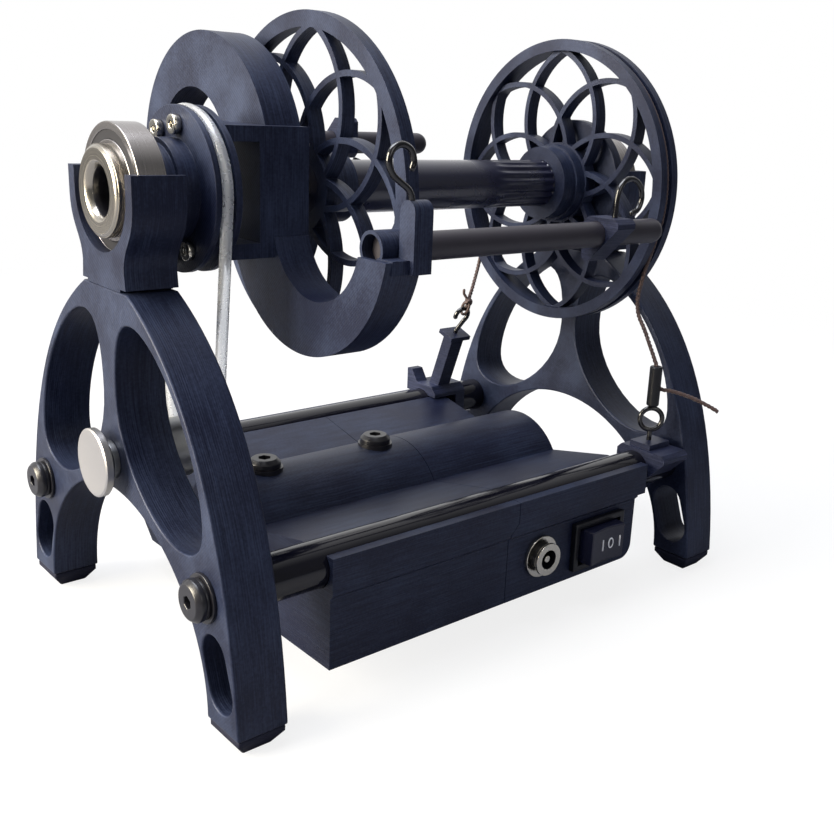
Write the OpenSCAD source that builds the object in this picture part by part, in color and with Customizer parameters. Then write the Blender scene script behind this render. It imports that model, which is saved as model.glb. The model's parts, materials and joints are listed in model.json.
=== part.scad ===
// Electric yarn spinner: two A-frames on a pair of rails, a flyer and bobbin that turn in open
// bearing cradles, a belt drive from a motor under the platform, and a cord brake on the bobbin.
// X runs along the flyer axis with the orifice at -X, the control panel faces -Y, Z is up.

/* [Stand] */
// Length over the two A-frames
stand_length = 180.4; // [166:0.1:230]
// Thickness of each A-frame
frame_t = 13.4; // [10:0.1:18]
// Half the spread of the feet, to their outer edges
foot_outer = 60.6; // [56:0.1:75]
// Half the gap between the feet
foot_inner = 46.5; // [44:0.1:50]
// Height of the frame from foot to shoulder
frame_h = 94.4; // [92:0.1:120]
// Height of the arch between the feet
arch_h = 42.5; // [40:0.1:46]
// Width of the upright web between the two windows
web_w = 7; // [5:0.1:10]
// How far the rubber pads stand below the feet
pad_h = 5.3; // [3:0.1:7]
// Height of the flyer axis above the frame's shoulder
axis_over_shoulder = 22.6; // [22.5:0.1:30]

/* [Rails] */
// Radius of each rail
rail_r = 6; // [5:0.1:7]
// Distance of each rail from the middle plane
rail_y = 46.5; // [44:0.1:50]
// Height of the rails above the feet
rail_over_feet = 31; // [29:0.1:33]
// Radius of the rail bolts
rail_bolt_r = 2.5; // [2:0.1:3]

/* [Bearings] */
// Bore radius of a bearing
bearing_bore_r = 10; // [9:0.1:10.5]
// Outer radius of a bearing
bearing_r = 16; // [15.5:0.1:17]
// Width of a bearing
bearing_w = 7; // [6:0.1:8]
// Thickness of the lip that keeps a bearing in its cradle
cradle_lip = 2.8; // [2:0.1:4]
// Play between parts that turn on each other
running_gap = 0.08; // [0.02:0.01:0.1]

/* [Flyer] */
// Radius of the yarn hole through the orifice tube
orifice_r = 5.5; // [4:0.1:6.5]
// Radius of the whorl's flanges
whorl_r = 20.3; // [19.5:0.1:24]
// Radius at which the belt's centre runs on the whorl
whorl_belt_r = 19.2; // [18.5:0.1:21]
// Distance of the whorl's groove from the stand's left face
belt_x = 22.9; // [22:0.1:24]
// Distance of the two rods from the flyer axis
rod_reach = 50.2; // [48:0.1:54]
// Angle of the rods below the horizontal, in degrees
rod_tilt = 10.6; // [5:0.1:15]
// Radius of a flyer rod
rod_r = 3.55; // [3:0.05:4]
// How far the front rod ends from the stand's right face
front_rod_end = 32.2; // [27:0.1:42]
// How far the back rod ends from the stand's right face
back_rod_end = 41.4; // [27:0.1:52]
// Thickness of the flyer's curved arms
arm_t = 10.4; // [9:0.1:12]
// Radius of the steel shaft that carries the bobbin
shaft_r = 4; // [3:0.1:5]

/* [Bobbin] */
// Radius of the bobbin's flanges
flange_r = 44.9; // [40:0.1:46]
// Front face of the front flange, from the stand's left face
front_flange_x = 56.1; // [55:0.1:60]
// Thickness of the front flange
front_flange_t = 4; // [3:0.1:5]
// Distance of the rear flange's front face from the stand's right face
rear_flange_x = 26.5; // [26.4:0.1:31]
// Thickness of the rear flange's rim
rear_flange_t = 7.8; // [7:0.1:9]
// Outer radius of the core tube
core_r = 7.3; // [6.5:0.1:9]
// Number of rings in the rosette
petals = 8; // [6:1:10]
// Radius of one ring of the rosette
petal_r = 23.5; // [22:0.1:24]
// Distance of each ring's centre from the axis
petal_reach = 21.5; // [20:0.1:22]
// Width of the rosette's strips
strip_w = 1.6; // [1.2:0.1:2.5]

/* [Housing] */
// Left end of the motor housing, from the stand's left face
housing_x0 = 30; // [28:0.1:32]
// Right end of the control housing, from the stand's right face
housing_x1 = 34.4; // [33:0.1:37]
// Where the two housings meet, from the stand's right face
seam_x = 87.1; // [85:0.1:89]
// Half the depth of the housings
housing_half = 54; // [53.5:0.1:58]
// Height of the housings' underside above the feet
housing_floor = 4.5; // [3:0.1:8]
// Height of the lip in front of each rail above the feet
lip_over_feet = 35; // [33:0.1:36]
// Height of the platform where it meets the motor ridge
valley_over_feet = 30; // [29:0.1:31]
// Outer radius of the motor ridge
ridge_r = 20; // [19:0.1:21]
// Height of the motor's axis above the feet
motor_over_feet = 19; // [18.5:0.1:20]
// Wall thickness of the housings
wall = 1.9; // [1.5:0.1:2.5]
// Size of the bevel along the housings' lower back edge
back_bevel = 9; // [6:0.5:10]

/* [Drive] */
// Radius of the motor's can
motor_r = 12.2; // [11:0.05:12.3]
// Length of the motor's can
motor_len = 33; // [28:0.5:50]
// Radius at which the belt's centre runs on the motor pulley
pulley_belt_r = 8; // [6:0.1:9]
// Radius of the round belt
belt_r = 1.5; // [1:0.1:1.8]

/* [Controls] */
// Radius of the speed knob
knob_r = 8.75; // [7:0.05:10]
// How far the knob's face stands off the frame
knob_out = 5.4; // [4.5:0.1:8]
// Height of the knob above the feet
knob_over_feet = 50.5; // [49:0.1:52]
// Width of the switch's bezel
switch_w = 22; // [20:0.1:24]
// Height of the switch's bezel
switch_h = 15.4; // [14:0.1:16]
// Place of the switch's centre, from the stand's right face
switch_x = 52.4; // [52:0.1:55]
// Place of the power socket's axis, from the stand's right face
jack_x = 76.9; // [73:0.1:78]

/* [Hooks and brake] */
// Radius of the wire of the hooks
wire_r = 0.8; // [0.6:0.05:1]
// Radius of the curl of a sliding hook
hook_r = 5.2; // [4:0.1:6]
// Left end of the front sliding hook's block, from the stand's right face
front_slider_x = 59.9; // [56:0.1:97]
// Left end of the back sliding hook's block, from the stand's right face
back_slider_x = 80.9; // [69:0.1:97]
// Length of a sliding hook's block
slider_len = 7.4; // [6.8:0.1:12]
// Radius of the brake cord
cord_r = 0.75; // [0.5:0.05:0.9]

/* [Hidden] */
$fn = 96;
eps = 0.01;
seat_gap = 0.05;    // between pieces that seat in each other
clear_gap = 0.35;   // between curved faces that pass each other
bolt_head_h = 2.5;
washer_t = 0.9;
bolt_out = 2 * washer_t + bolt_head_h;
total_length = knob_out + stand_length + bolt_out;
left_x = -total_length / 2 + knob_out;
right_x = left_x + stand_length;
axis_z = pad_h + frame_h + axis_over_shoulder;
rail_z = pad_h + rail_over_feet;
motor_z = pad_h + motor_over_feet;
knob_z = pad_h + knob_over_feet;
shoulder_z = pad_h + frame_h;
floor_z = pad_h + housing_floor;
lip_z = pad_h + lip_over_feet;
valley_z = pad_h + valley_over_feet;
shoulder_half = 12;
foot_slot_r = 5.4;

cradle_bottom = shoulder_z + 0.8;
cradle_top = axis_z + 5;
cradle_top_half = bearing_r + 1.5;
cradle_neck_half = 11.6;
neck_half = 9.2;
pocket_r = bearing_r + seat_gap;
lip_r = bearing_r - 1.8;
left_bearing_x = left_x + cradle_lip;
right_bearing_x = right_x - cradle_lip - bearing_w;
ring_in_r = bearing_bore_r + 1.9;
ring_out_r = bearing_r - 1.9;
ball_r = 1.55;
ball_path = (ring_in_r + ring_out_r) / 2;
ball_count = 14;

groove_r = belt_r + clear_gap;
whorl_w = 7;
whorl_x0 = left_x + belt_x - whorl_w / 2;
whorl_x1 = whorl_x0 + whorl_w;
screw_angles = [62.5, 97.7, 242.5, 277.7];
screw_circle = 15.8;
orifice_flange_r = bearing_bore_r + 0.9;
orifice_front = left_x - 0.6;
orifice_end = whorl_x1 + 2;
exit_x1 = whorl_x1 + 9.6;
exit_half = 12.4;
block_x0 = whorl_x1 + 0.2;
arm_x0 = left_x + 40;
arm_x1 = arm_x0 + arm_t;
block_half_y = 12;
block_half_z = 16.2;
arm_out_r = 34.5;
arm_in_r = 18.5;
rod_dy = rod_reach * cos(rod_tilt);
rod_dz = rod_reach * sin(rod_tilt);
lug_r = rod_r + 0.9;
lug_x0 = arm_x0 + 2.6;
lug_x1 = left_x + front_flange_x - 2.4;
arm_end = 11;
post_w = 5.4;
post_x1 = arm_x1 + 1.8;
post_y = rod_reach + 9.6;
post_top = 0;
post_hook_x = post_x1 - post_w / 2 - 1.6;

core_bore_r = shaft_r + running_gap;
front_flange_x0 = left_x + front_flange_x;
rear_flange_x0 = right_x - rear_flange_x;
rear_flange_x1 = rear_flange_x0 + rear_flange_t;
web_in_r = flange_r - 3.5;
brake_groove_r = cord_r + clear_gap;
brake_x = rear_flange_x0 + rear_flange_t / 2;
brake_path_r = flange_r - 1.1;
hub_r = 11.5;
rear_disc_r = whorl_r;
rear_disc_x0 = rear_flange_x1 + 0.5;
rear_disc_t = right_x - frame_t - 1.0 - rear_disc_x0;

ridge_y = sqrt(pow(ridge_r, 2) - pow(valley_z - motor_z, 2));
channel_r = rail_r + 0.15;
step_z = pad_h + 24;
step_in = 1;
lip_reach = 3.6;
seam_jog = 3;
cover_t = 2;
house_x0 = left_x + housing_x0;
house_x1 = right_x - housing_x1;
seam = right_x - seam_x;
ridge_screw_x = [house_x0 + 14, seam - 10.3];
motor_x0 = house_x0 + wall + 1.6;
sleeve_x1 = seam - 5;
panel_z = pad_h + 14.9;
jack_z = pad_h + 16;
jack_r = 4.9;
jack_out = 4;
panel_y = -housing_half + step_in;

rod_place = [[-rod_dy, -rod_dz], [rod_dy, rod_dz]];
lug_curl = [-3.3, 0, 8.6];
lug_curl_r = 3.5;
hook_stem = 7;
front_turn = 5.7;
rear_turn = -3;
hook_place = 4.5;
hook_side = 2.6;
slider_leg = 12.6;
clamp_leg = 19;
clip_wall = 1.1;

post_x = house_x1 + 0.1;
post_lean = 20;
post_len = 25;
post_curl = [0.5, 0, 7.1];
post_curl_r = 2.9;
knot_r = 1.5;
sleeve_r = 2;
sleeve_len = 13;
sleeve_at = [brake_x, -rail_y - 0.6, pad_h + 51.4];
ring_r = 3.6;
ring_at = [brake_x, -rail_y - 0.6, pad_h + 46.9];
// Where the slack cord bows in below the flange, on its way to the sleeve
bow = [[brake_x, -37, pad_h + 84], [brake_x, -41.8, pad_h + 73.5]];
tail_route = [
    [0, 0, 5.4], [1.5, -1.8, 5.3], [3.1, -3.8, 4.9], [4.6, -5.8, 4.3], [6.0, -7.6, 3.6],
    [7.4, -9.5, 2.8], [8.7, -11.2, 1.9], [10.0, -12.9, 0.9], [11.2, -14.4, -0.1]
];

// ---------- helpers ----------

// A cubic curve between two points, as a list of points without its last one
function curve(a, b, c, d, n = 14) = [
    for (i = [0 : n - 1]) let (t = i / n, s = 1 - t)
        s * s * s * a + 3 * s * s * t * b + 3 * s * t * t * c + t * t * t * d
];

// Stands a flat (y, z) outline up and gives it a length along X
module along_x(x0, len) {
    translate([x0, 0, 0]) rotate([90, 0, 90]) linear_extrude(len) children();
}

// Turns a (radius, x) outline about the flyer axis
module about_axis(x0) {
    translate([x0, 0, axis_z]) rotate([0, 90, 0]) rotate_extrude() children();
}

// A round bar from a to b
module bar(a, b, r) {
    v = b - a;
    len = norm(v);
    translate(a) rotate([0, acos(v[2] / len), atan2(v[1], v[0])]) cylinder(h = len, r = r);
}

// A tube lying along X
module tube_x(x0, x1, r_out, r_in) {
    translate([x0, 0, 0]) rotate([0, 90, 0]) difference() {
        cylinder(h = x1 - x0, r = r_out);
        if (r_in > 0) translate([0, 0, -1]) cylinder(h = x1 - x0 + 2, r = r_in);
    }
}

// Both sides of the middle plane
module both_sides() {
    children();
    mirror([0, 1, 0]) children();
}

// ---------- A-frames ----------

// Outline of one leg, from shoulder to foot, on the +Y side
leg_edge = concat(
    curve([shoulder_half, shoulder_z], [foot_outer * 0.594, shoulder_z - 12.5],
          [foot_outer - 4.6, pad_h + frame_h * 0.614], [foot_outer, pad_h], 24),
    [[foot_outer, pad_h], [foot_inner, pad_h]]
);
arch_edge = [for (i = [1 : 1 : 24]) let (t = 90 * i / 24)
    [foot_inner * cos(t), pad_h + arch_h * sin(t)]];
window_side = web_w / 2;
window_edge = concat(
    curve([window_side, pad_h + 68], [window_side, pad_h + 80],
          [6, shoulder_z - 7.4], [13, shoulder_z - 7.4], 8),
    curve([13, shoulder_z - 7.4], [26, shoulder_z - 7.4],
          [foot_inner - 1.5, pad_h + 66], [foot_inner - 0.5, pad_h + 48], 16),
    curve([foot_inner - 0.5, pad_h + 48], [foot_inner, pad_h + 41],
          [41, pad_h + 38], [34, pad_h + 38], 8),
    curve([34, pad_h + 38], [22, pad_h + 38],
          [window_side, pad_h + 52], [window_side, pad_h + 68], 12)
);

// A slot through the foot, with round ends, that leans with the leg
foot_slot_ends = [[foot_inner + 3.5, pad_h + 17.2], [foot_inner + 6.3, pad_h + 9.4]];
foot_slot = let (d = foot_slot_ends[0] - foot_slot_ends[1], lean = atan2(d[1], d[0]))
    [for (end = [0, 1], i = [0 : 12]) let (a = lean - 90 + 180 * end + 15 * i)
        foot_slot_ends[end] + foot_slot_r * [cos(a), sin(a)]];

module frame_half() {
    difference() {
        polygon(concat([[-1, shoulder_z]], leg_edge, arch_edge, [[-1, pad_h + arch_h]]));
        polygon(window_edge);
        polygon(foot_slot);
        translate([rail_y, rail_z]) circle(rail_bolt_r + seat_gap);
    }
}

module frame_plate(x0) {
    difference() {
        along_x(x0, frame_t) {
            frame_half();
            mirror([1, 0]) frame_half();
        }
        // thread for the screw that holds the cradle
        translate([x0 + frame_t / 2, 0, shoulder_z - 12]) cylinder(h = 13, r = 2);
        children();
    }
}

module left_frame() {
    color("#2b2e3c") frame_plate(left_x)
        translate([left_x - 1, 0, knob_z]) rotate([0, 90, 0])
            cylinder(h = frame_t + 2, r = 3.5 + seat_gap);
}

module right_frame() {
    color("#2b2e3c") frame_plate(right_x - frame_t);
}

// ---------- bearing cradles ----------

cradle_edge = concat(
    curve([cradle_top_half, axis_z - 2], [cradle_top_half - 0.2, axis_z - 10],
          [cradle_neck_half, axis_z - 11.5], [cradle_neck_half, axis_z - 17.5], 14),
    [[cradle_neck_half, axis_z - 17.5], [cradle_neck_half + 0.5, cradle_bottom],
     [neck_half, cradle_bottom], [neck_half, shoulder_z + seat_gap], [-1, shoulder_z + seat_gap]]
);

module cradle_half() {
    polygon(concat([[-1, cradle_top], [cradle_top_half, cradle_top]], cradle_edge));
}

module cradle(x0, pocket_x0) {
    difference() {
        along_x(x0, frame_t) {
            cradle_half();
            mirror([1, 0]) cradle_half();
        }
        // the mouth, narrower at the lip
        translate([x0 - 1, 0, axis_z]) rotate([0, 90, 0]) cylinder(h = frame_t + 2, r = lip_r);
        translate([x0 - 1, -lip_r, axis_z]) cube([frame_t + 2, 2 * lip_r, 10]);
        // the pocket for the bearing, open upwards
        translate([pocket_x0, 0, axis_z]) rotate([0, 90, 0])
            cylinder(h = frame_t - cradle_lip + eps, r = pocket_r);
        translate([pocket_x0, -pocket_r, axis_z])
            cube([frame_t - cradle_lip + eps, 2 * pocket_r, 10]);
        // screw hole
        translate([x0 + frame_t / 2, 0, shoulder_z - 1]) cylinder(h = 12, r = 2.1);
        translate([x0 + frame_t / 2, 0, axis_z - bearing_r - 3.2]) cylinder(h = 6, r = 4.1);
    }
}

module left_cradle() {
    color("#2b2e3c") cradle(left_x, left_x + cradle_lip);
}

module right_cradle() {
    color("#2b2e3c") cradle(right_x - frame_t, right_x - frame_t - eps);
}

module cradle_screws() {
    color("silver") for (x = [left_x + frame_t / 2, right_x - frame_t / 2])
        translate([x, 0, 0]) {
            translate([0, 0, shoulder_z - 10])
                cylinder(h = axis_z - bearing_r - 3.2 - shoulder_z + 10, r = 1.95);
            difference() {
                translate([0, 0, axis_z - bearing_r - 3.2]) cylinder(h = 2.6, r = 3.8);
                translate([0, 0, axis_z - bearing_r - 1.8]) cylinder(h = 2, r = 1.5, $fn = 6);
            }
        }
}

// ---------- bearings ----------

module race(r_in, r_out) {
    difference() {
        translate([r_in, 0]) square([r_out - r_in, bearing_w]);
        translate([ball_path, bearing_w / 2]) circle(ball_r + 0.08, $fn = 48);
    }
}

module bearing_outer_rings() {
    color("silver") for (x = [left_bearing_x, right_bearing_x])
        about_axis(x) race(ring_out_r, bearing_r);
}

module bearing_inner_rings() {
    color("silver") for (x = [left_bearing_x, right_bearing_x])
        about_axis(x) race(bearing_bore_r, ring_in_r);
}

module bearing_balls() {
    color("silver") for (x = [left_bearing_x, right_bearing_x], i = [0 : ball_count - 1])
        translate([x + bearing_w / 2, 0, axis_z]) rotate([360 * i / ball_count, 0, 0])
            translate([0, ball_path, 0]) sphere(ball_r, $fn = 32);
}

module bearing_seals() {
    color("#3a3a40") for (x = [left_bearing_x, right_bearing_x], side = [0.25, bearing_w - 0.75])
        about_axis(x + side)
            translate([ring_in_r + 0.1, 0]) square([ring_out_r - ring_in_r - 0.15, 0.5]);
}

// ---------- rails, bolts, feet ----------

module rail(y) {
    translate([0, y, rail_z]) difference() {
        tube_x(left_x + frame_t + seat_gap, right_x - frame_t - seat_gap, rail_r, 0);
        for (x = [left_x + frame_t - 1, right_x - frame_t - 11])
            translate([x, 0, 0]) rotate([0, 90, 0]) cylinder(h = 12, r = rail_bolt_r);
    }
}

module front_rail() { color("#15161c") rail(-rail_y); }
module back_rail() { color("#15161c") rail(rail_y); }

// Both ends of both rails, with +X pointing into the stand
module each_rail_end() {
    both_sides() {
        translate([left_x, rail_y, rail_z]) children();
        translate([right_x, rail_y, rail_z]) rotate([0, 0, 180]) children();
    }
}

module rail_bolts() {
    color("#1b1c22") each_rail_end() difference() {
        union() {
            translate([-2 * washer_t, 0, 0]) rotate([0, 90, 0])
                cylinder(h = 2 * washer_t + frame_t + 10, r = rail_bolt_r - seat_gap);
            translate([-bolt_out, 0, 0]) rotate([0, 90, 0]) cylinder(h = 1.2, r1 = 4.2, r2 = 5.2);
            translate([-bolt_out + 1.2, 0, 0]) rotate([0, 90, 0])
                cylinder(h = bolt_head_h - 1.2, r = 5.2);
        }
        translate([-bolt_out - 1, 0, 0]) rotate([0, 90, 0]) cylinder(h = 3, r = 1.7, $fn = 6);
    }
}

module rail_washers() {
    color("#22232a") each_rail_end() {
        translate([-washer_t, 0, 0]) rotate([0, 90, 0]) difference() {
            cylinder(h = washer_t - seat_gap, r = 6);
            translate([0, 0, -1]) cylinder(h = 4, r = rail_bolt_r + seat_gap);
        }
        translate([-2 * washer_t, 0, 0]) rotate([0, 90, 0]) difference() {
            cylinder(h = washer_t - seat_gap, r = 5);
            translate([0, 0, -1]) cylinder(h = 4, r = rail_bolt_r + seat_gap);
        }
    }
}

// A pad's outline across, narrower at the bottom
module pad_outline(w) {
    bevel = 2.6;
    polygon([[-w / 2 + bevel, 0], [w / 2 - bevel, 0], [w / 2, pad_h - 1.6],
             [w / 2, pad_h - seat_gap], [-w / 2, pad_h - seat_gap], [-w / 2, pad_h - 1.6]]);
}

module foot_pads() {
    pad_w = foot_outer - foot_inner - 0.8;
    pad_t = frame_t - 0.8;
    pad_y = (foot_outer + foot_inner) / 2;
    color("#26262a") both_sides() for (x = [left_x, right_x - frame_t])
        translate([x + frame_t / 2, pad_y, 0]) intersection() {
            translate([-pad_t / 2, 0, 0]) rotate([90, 0, 90])
                linear_extrude(pad_t) pad_outline(pad_w);
            translate([0, pad_w / 2, 0]) rotate([90, 0, 0]) linear_extrude(pad_w) pad_outline(pad_t);
        }
}

// ---------- housings under the platform ----------

// The two ends of the lower back bevel, on an outline drawn in by d
function bevel_y(d) = housing_half - step_in - back_bevel - d * sqrt(2);
function bevel_z(d) = floor_z + back_bevel + d * (sqrt(2) - 1);

// Cross-section of the housings, drawn in by d on every face but the open bottom
module housing_outline(d) {
    out = housing_half - d;
    side = out - step_in;
    rise = (lip_z - valley_z) / (rail_y - channel_r - ridge_y);
    drop = d * sqrt(1 + rise * rise);
    difference() {
        union() {
            polygon([
                [-side, floor_z], [bevel_y(d), floor_z], [side, bevel_z(d)], [side, step_z - d],
                [out, step_z + 1 - d], [out, lip_z - d], [rail_y - channel_r, lip_z - drop],
                [0, valley_z - rise * ridge_y - drop],
                [-rail_y + channel_r, lip_z - drop], [-out, lip_z - d], [-out, step_z + 1 - d],
                [-side, step_z - d]
            ]);
            intersection() {
                translate([0, motor_z]) circle(ridge_r - d);
                translate([-ridge_r, motor_z]) square([2 * ridge_r, ridge_r + 1]);
            }
        }
        for (s = [-1, 1]) translate([s * rail_y, rail_z]) circle(channel_r + d);
    }
}

// The part of space left or right of the stepped seam between the housings
module seam_side(left) {
    gap = 0.1;
    x = left ? seam - gap : seam + gap;
    far = left ? house_x0 - 10 : house_x1 + 20;
    translate([0, housing_half + 5, 0]) rotate([90, 0, 0]) linear_extrude(2 * housing_half + 10)
        polygon([
            [x, lip_z + 20], [x, pad_h + 28.8], [x - seam_jog, pad_h + 25.8],
            [x - seam_jog, 0], [far, 0], [far, lip_z + 20]
        ]);
}

module housing_shell(x0, x1, overhang) {
    difference() {
        along_x(x0, x1 + overhang - x0) housing_outline(0);
        along_x(x0 + wall, x1 - x0 - 2 * wall) housing_outline(wall);
        translate([x0 + wall, cover_front, floor_z - 1])
            cube([x1 - x0 - 2 * wall, cover_back - cover_front, 1 + cover_t]);
    }
}

module motor_housing() {
    color("#2b2e3c") difference() {
        intersection() {
            housing_shell(house_x0, seam + 10, 0);
            seam_side(true);
        }
        for (x = ridge_screw_x) translate([x, 0, motor_z]) cylinder(h = 30, r = 2.6);
        // the motor's nose and shaft pass the end wall
        translate([house_x0 - 1, 0, motor_z]) rotate([0, 90, 0]) cylinder(h = wall + 2, r = 5.2);
    }
}

module control_housing() {
    corner = 4.5;
    color("#2b2e3c") difference() {
        intersection() {
            housing_shell(seam - seam_jog - 10, house_x1, lip_reach);
            seam_side(false);
        }
        // only the lip in front of each rail runs on past the end wall
        translate([house_x1, -60, 0]) cube([lip_reach + 1, 120, step_z + 1.5]);
        translate([house_x1, -rail_y - 3, 0]) cube([lip_reach + 1, 2 * rail_y + 6, 60]);
        // rounded lower corner of the panel
        translate([house_x1 - corner, 0, floor_z + corner]) rotate([90, 0, 0])
            linear_extrude(2 * housing_half + 2, center = true) difference() {
                translate([0, -corner - 1]) square([corner + 1, corner + 1]);
                circle(corner);
            }
        translate([right_x - jack_x, -housing_half - 1, jack_z]) rotate([-90, 0, 0])
            cylinder(h = 8, r = jack_r - 0.9 + seat_gap);
        translate([right_x - switch_x - switch_w / 2 + 1.4, -housing_half - 1,
                   panel_z - switch_h / 2 + 1.4])
            cube([switch_w - 2.8, 8, switch_h - 2.8]);
    }
}

// The hole in the housings' underside, front to back, and the covers' screws in it
cover_front = -housing_half + step_in + wall;
cover_back = bevel_y(wall);
cover_screw_y = [cover_front + 6.3, cover_back - 3.7];

module floor_plate(x0, x1) {
    difference() {
        translate([x0 + 0.3, cover_front + 0.3, floor_z])
            cube([x1 - x0 - 0.6, cover_back - cover_front - 0.6, cover_t - seat_gap]);
        for (x = [x0 + 6, x1 - 6], y = cover_screw_y)
            translate([x, y, floor_z - 1]) cylinder(h = 4, r = 1.3);
    }
}

motor_floor = [house_x0 + wall, seam - seam_jog - wall - 0.4];
control_floor = [seam - seam_jog + wall, house_x1 - 4.6];

module motor_cover() { color("#25272f") floor_plate(motor_floor[0], motor_floor[1]); }
module control_cover() { color("#25272f") floor_plate(control_floor[0], control_floor[1]); }

module cover_screws() {
    color("#1b1c22") for (f = [motor_floor, control_floor], x = [f[0] + 6, f[1] - 6], y = cover_screw_y)
        translate([x, y, floor_z - 1.1]) {
            cylinder(h = 1.05, r = 2.4);
            cylinder(h = 4.6, r = 1.2);
        }
}

// ---------- motor and drive ----------

module ridge_screws() {
    z = motor_z + ridge_r;
    color("#1b1c22") for (x = ridge_screw_x) translate([x, 0, 0]) difference() {
        union() {
            translate([0, 0, z - 5.6]) cylinder(h = 6.4, r = 2.45);
            translate([0, 0, z + 0.8]) cylinder(h = 1.3, r = 4.6);
            translate([0, 0, z + 2.1]) cylinder(h = 1.2, r1 = 4.6, r2 = 3.5);
        }
        translate([0, 0, z + 1.4]) cylinder(h = 3, r = 1.9, $fn = 6);
    }
}

module ridge_washers() {
    z = motor_z + ridge_r;
    color("#26272e") for (x = ridge_screw_x) translate([x, 0, 0]) difference() {
        translate([0, 0, z - 0.8]) cylinder(h = 1.55, r = 5.2);
        translate([0, 0, z - 3]) cylinder(h = 6, r = 2.6);
        translate([0, 0, motor_z]) rotate([0, 90, 0]) cylinder(h = 30, r = ridge_r, center = true);
    }
}

module motor_sleeve() {
    color("#33353f") difference() {
        intersection() {
            translate([0, 0, motor_z])
                tube_x(motor_x0, sleeve_x1, ridge_r - wall - 0.1, motor_r + 0.1);
            translate([motor_x0, -30, floor_z + cover_t]) cube([100, 60, 60]);
        }
        for (x = ridge_screw_x) translate([x, 0, motor_z]) cylinder(h = 30, r = 2.5);
        translate([motor_x0 + motor_len, -6, 0]) cube([60, 12, motor_z]);
    }
}

module motor() {
    color("silver") difference() {
        translate([0, 0, motor_z]) union() {
            tube_x(motor_x0, motor_x0 + motor_len, motor_r, 0);
            tube_x(motor_x0 - 1.5, motor_x0 + 1, 4.9, 0);
            tube_x(motor_x0 + motor_len - 1, motor_x0 + motor_len + 2.5, 5, 0);
        }
        translate([0, 0, motor_z])
            tube_x(motor_x0 - 3, motor_x0 + 12, 1.15 + running_gap, 0);
    }
}

pulley_x0 = left_x + belt_x - whorl_w / 2;
module motor_shaft() {
    color("silver") translate([0, 0, motor_z]) tube_x(pulley_x0 + 0.5, motor_x0 + 11, 1.15, 0);
}

module grooved_disc(belt_path, rim, w, bore) {
    difference() {
        translate([bore, 0]) square([rim - bore, w]);
        translate([belt_path, w / 2]) circle(groove_r, $fn = 48);
        translate([belt_path, w / 2 - groove_r]) square([rim, 2 * groove_r]);
    }
}

module motor_pulley() {
    color("#2b2e3c") translate([pulley_x0, 0, motor_z]) rotate([0, 90, 0]) rotate_extrude()
        grooved_disc(pulley_belt_r, pulley_belt_r + 1.6, whorl_w, 1.16);
}

// The belt runs straight between its two arcs, tangent to both
belt_lean = asin((whorl_belt_r - pulley_belt_r) / (axis_z - motor_z));
function belt_arc(z, r, from, to, n) = [
    for (i = [0 : n]) let (a = from + (to - from) * i / n) [r * cos(a), z + r * sin(a), a]
];
belt_path = concat(
    belt_arc(axis_z, whorl_belt_r, -belt_lean, 180 + belt_lean, 30),
    belt_arc(motor_z, pulley_belt_r, 180 + belt_lean, 360 - belt_lean, 18)
);

module drive_belt() {
    sides = 12;
    n = len(belt_path);
    pts = [for (p = belt_path, k = [0 : sides - 1]) let (t = 360 * k / sides)
        [left_x + belt_x + belt_r * sin(t), p[0] + belt_r * cos(t) * cos(p[2]),
         p[1] + belt_r * cos(t) * sin(p[2])]];
    skin = [for (i = [0 : n - 1], k = [0 : sides - 1])
        let (j = (i + 1) % n, m = (k + 1) % sides)
        each [[i * sides + k, i * sides + m, j * sides + m],
              [i * sides + k, j * sides + m, j * sides + k]]];
    color("#dfe6ea", 0.7) polyhedron(pts, skin);
}

// ---------- electrics ----------

module controller_board() {
    x0 = seam + 6;
    z = floor_z + cover_t + 2.2;
    color("#1f5a3a") translate([x0, -8, z]) cube([38, 44, 1.6]);
    color("#202020") {
        translate([x0 + 4, 0, z + 1.5]) cube([12, 12, 9]);
        translate([x0 + 22, 4, z + 1.5]) cylinder(h = 11, r = 4);
        translate([x0 + 22, 18, z + 1.5]) cylinder(h = 11, r = 4);
        translate([x0 + 4, 22, z + 1.5]) cube([16, 8, 7]);
    }
    color("silver") for (p = [[3, -5], [35, -5], [3, 33], [35, 33]])
        translate([x0 + p[0], p[1], floor_z + cover_t - seat_gap]) cylinder(h = 2.3, r = 1.8);
}

module power_socket() {
    y = -housing_half + step_in;
    color("silver") translate([right_x - jack_x, y, jack_z]) rotate([90, 0, 0]) difference() {
        union() {
            translate([0, 0, -9]) cylinder(h = 9 + jack_out - 1, r = jack_r - 0.9);
            translate([0, 0, jack_out - 1]) cylinder(h = 1, r = jack_r);
        }
        translate([0, 0, -5]) difference() {
            cylinder(h = 12, r = 2.85);
            cylinder(h = jack_out + 4.4, r = 1.05);
        }
    }
}

module socket_nut() {
    y = -housing_half + step_in;
    color("silver") translate([right_x - jack_x, y, jack_z]) rotate([90, 0, 0]) difference() {
        translate([0, 0, seat_gap]) cylinder(h = 1.3, r = jack_r + 1.4);
        cylinder(h = 6, r = jack_r - 0.9 + seat_gap, center = true);
    }
}

module switch_body() {
    y = -housing_half + step_in;
    rim = 1.9;
    rim_out = 2;
    color("#17181d") translate([right_x - switch_x, y, panel_z]) difference() {
        union() {
            translate([-switch_w / 2, -rim_out, -switch_h / 2])
                cube([switch_w, rim_out - seat_gap, switch_h]);
            translate([-switch_w / 2 + 1.5, -rim_out, -switch_h / 2 + 1.5])
                cube([switch_w - 3, rim_out + 13, switch_h - 3]);
        }
        translate([-switch_w / 2 + rim, -rim_out - 1, -switch_h / 2 + rim])
            cube([switch_w - 2 * rim, 8.5, switch_h - 2 * rim]);
        for (x = [-5.5, 0, 5.5]) translate([x, 11, 0]) cube([1, 8, 3], center = true);
    }
}

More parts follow.
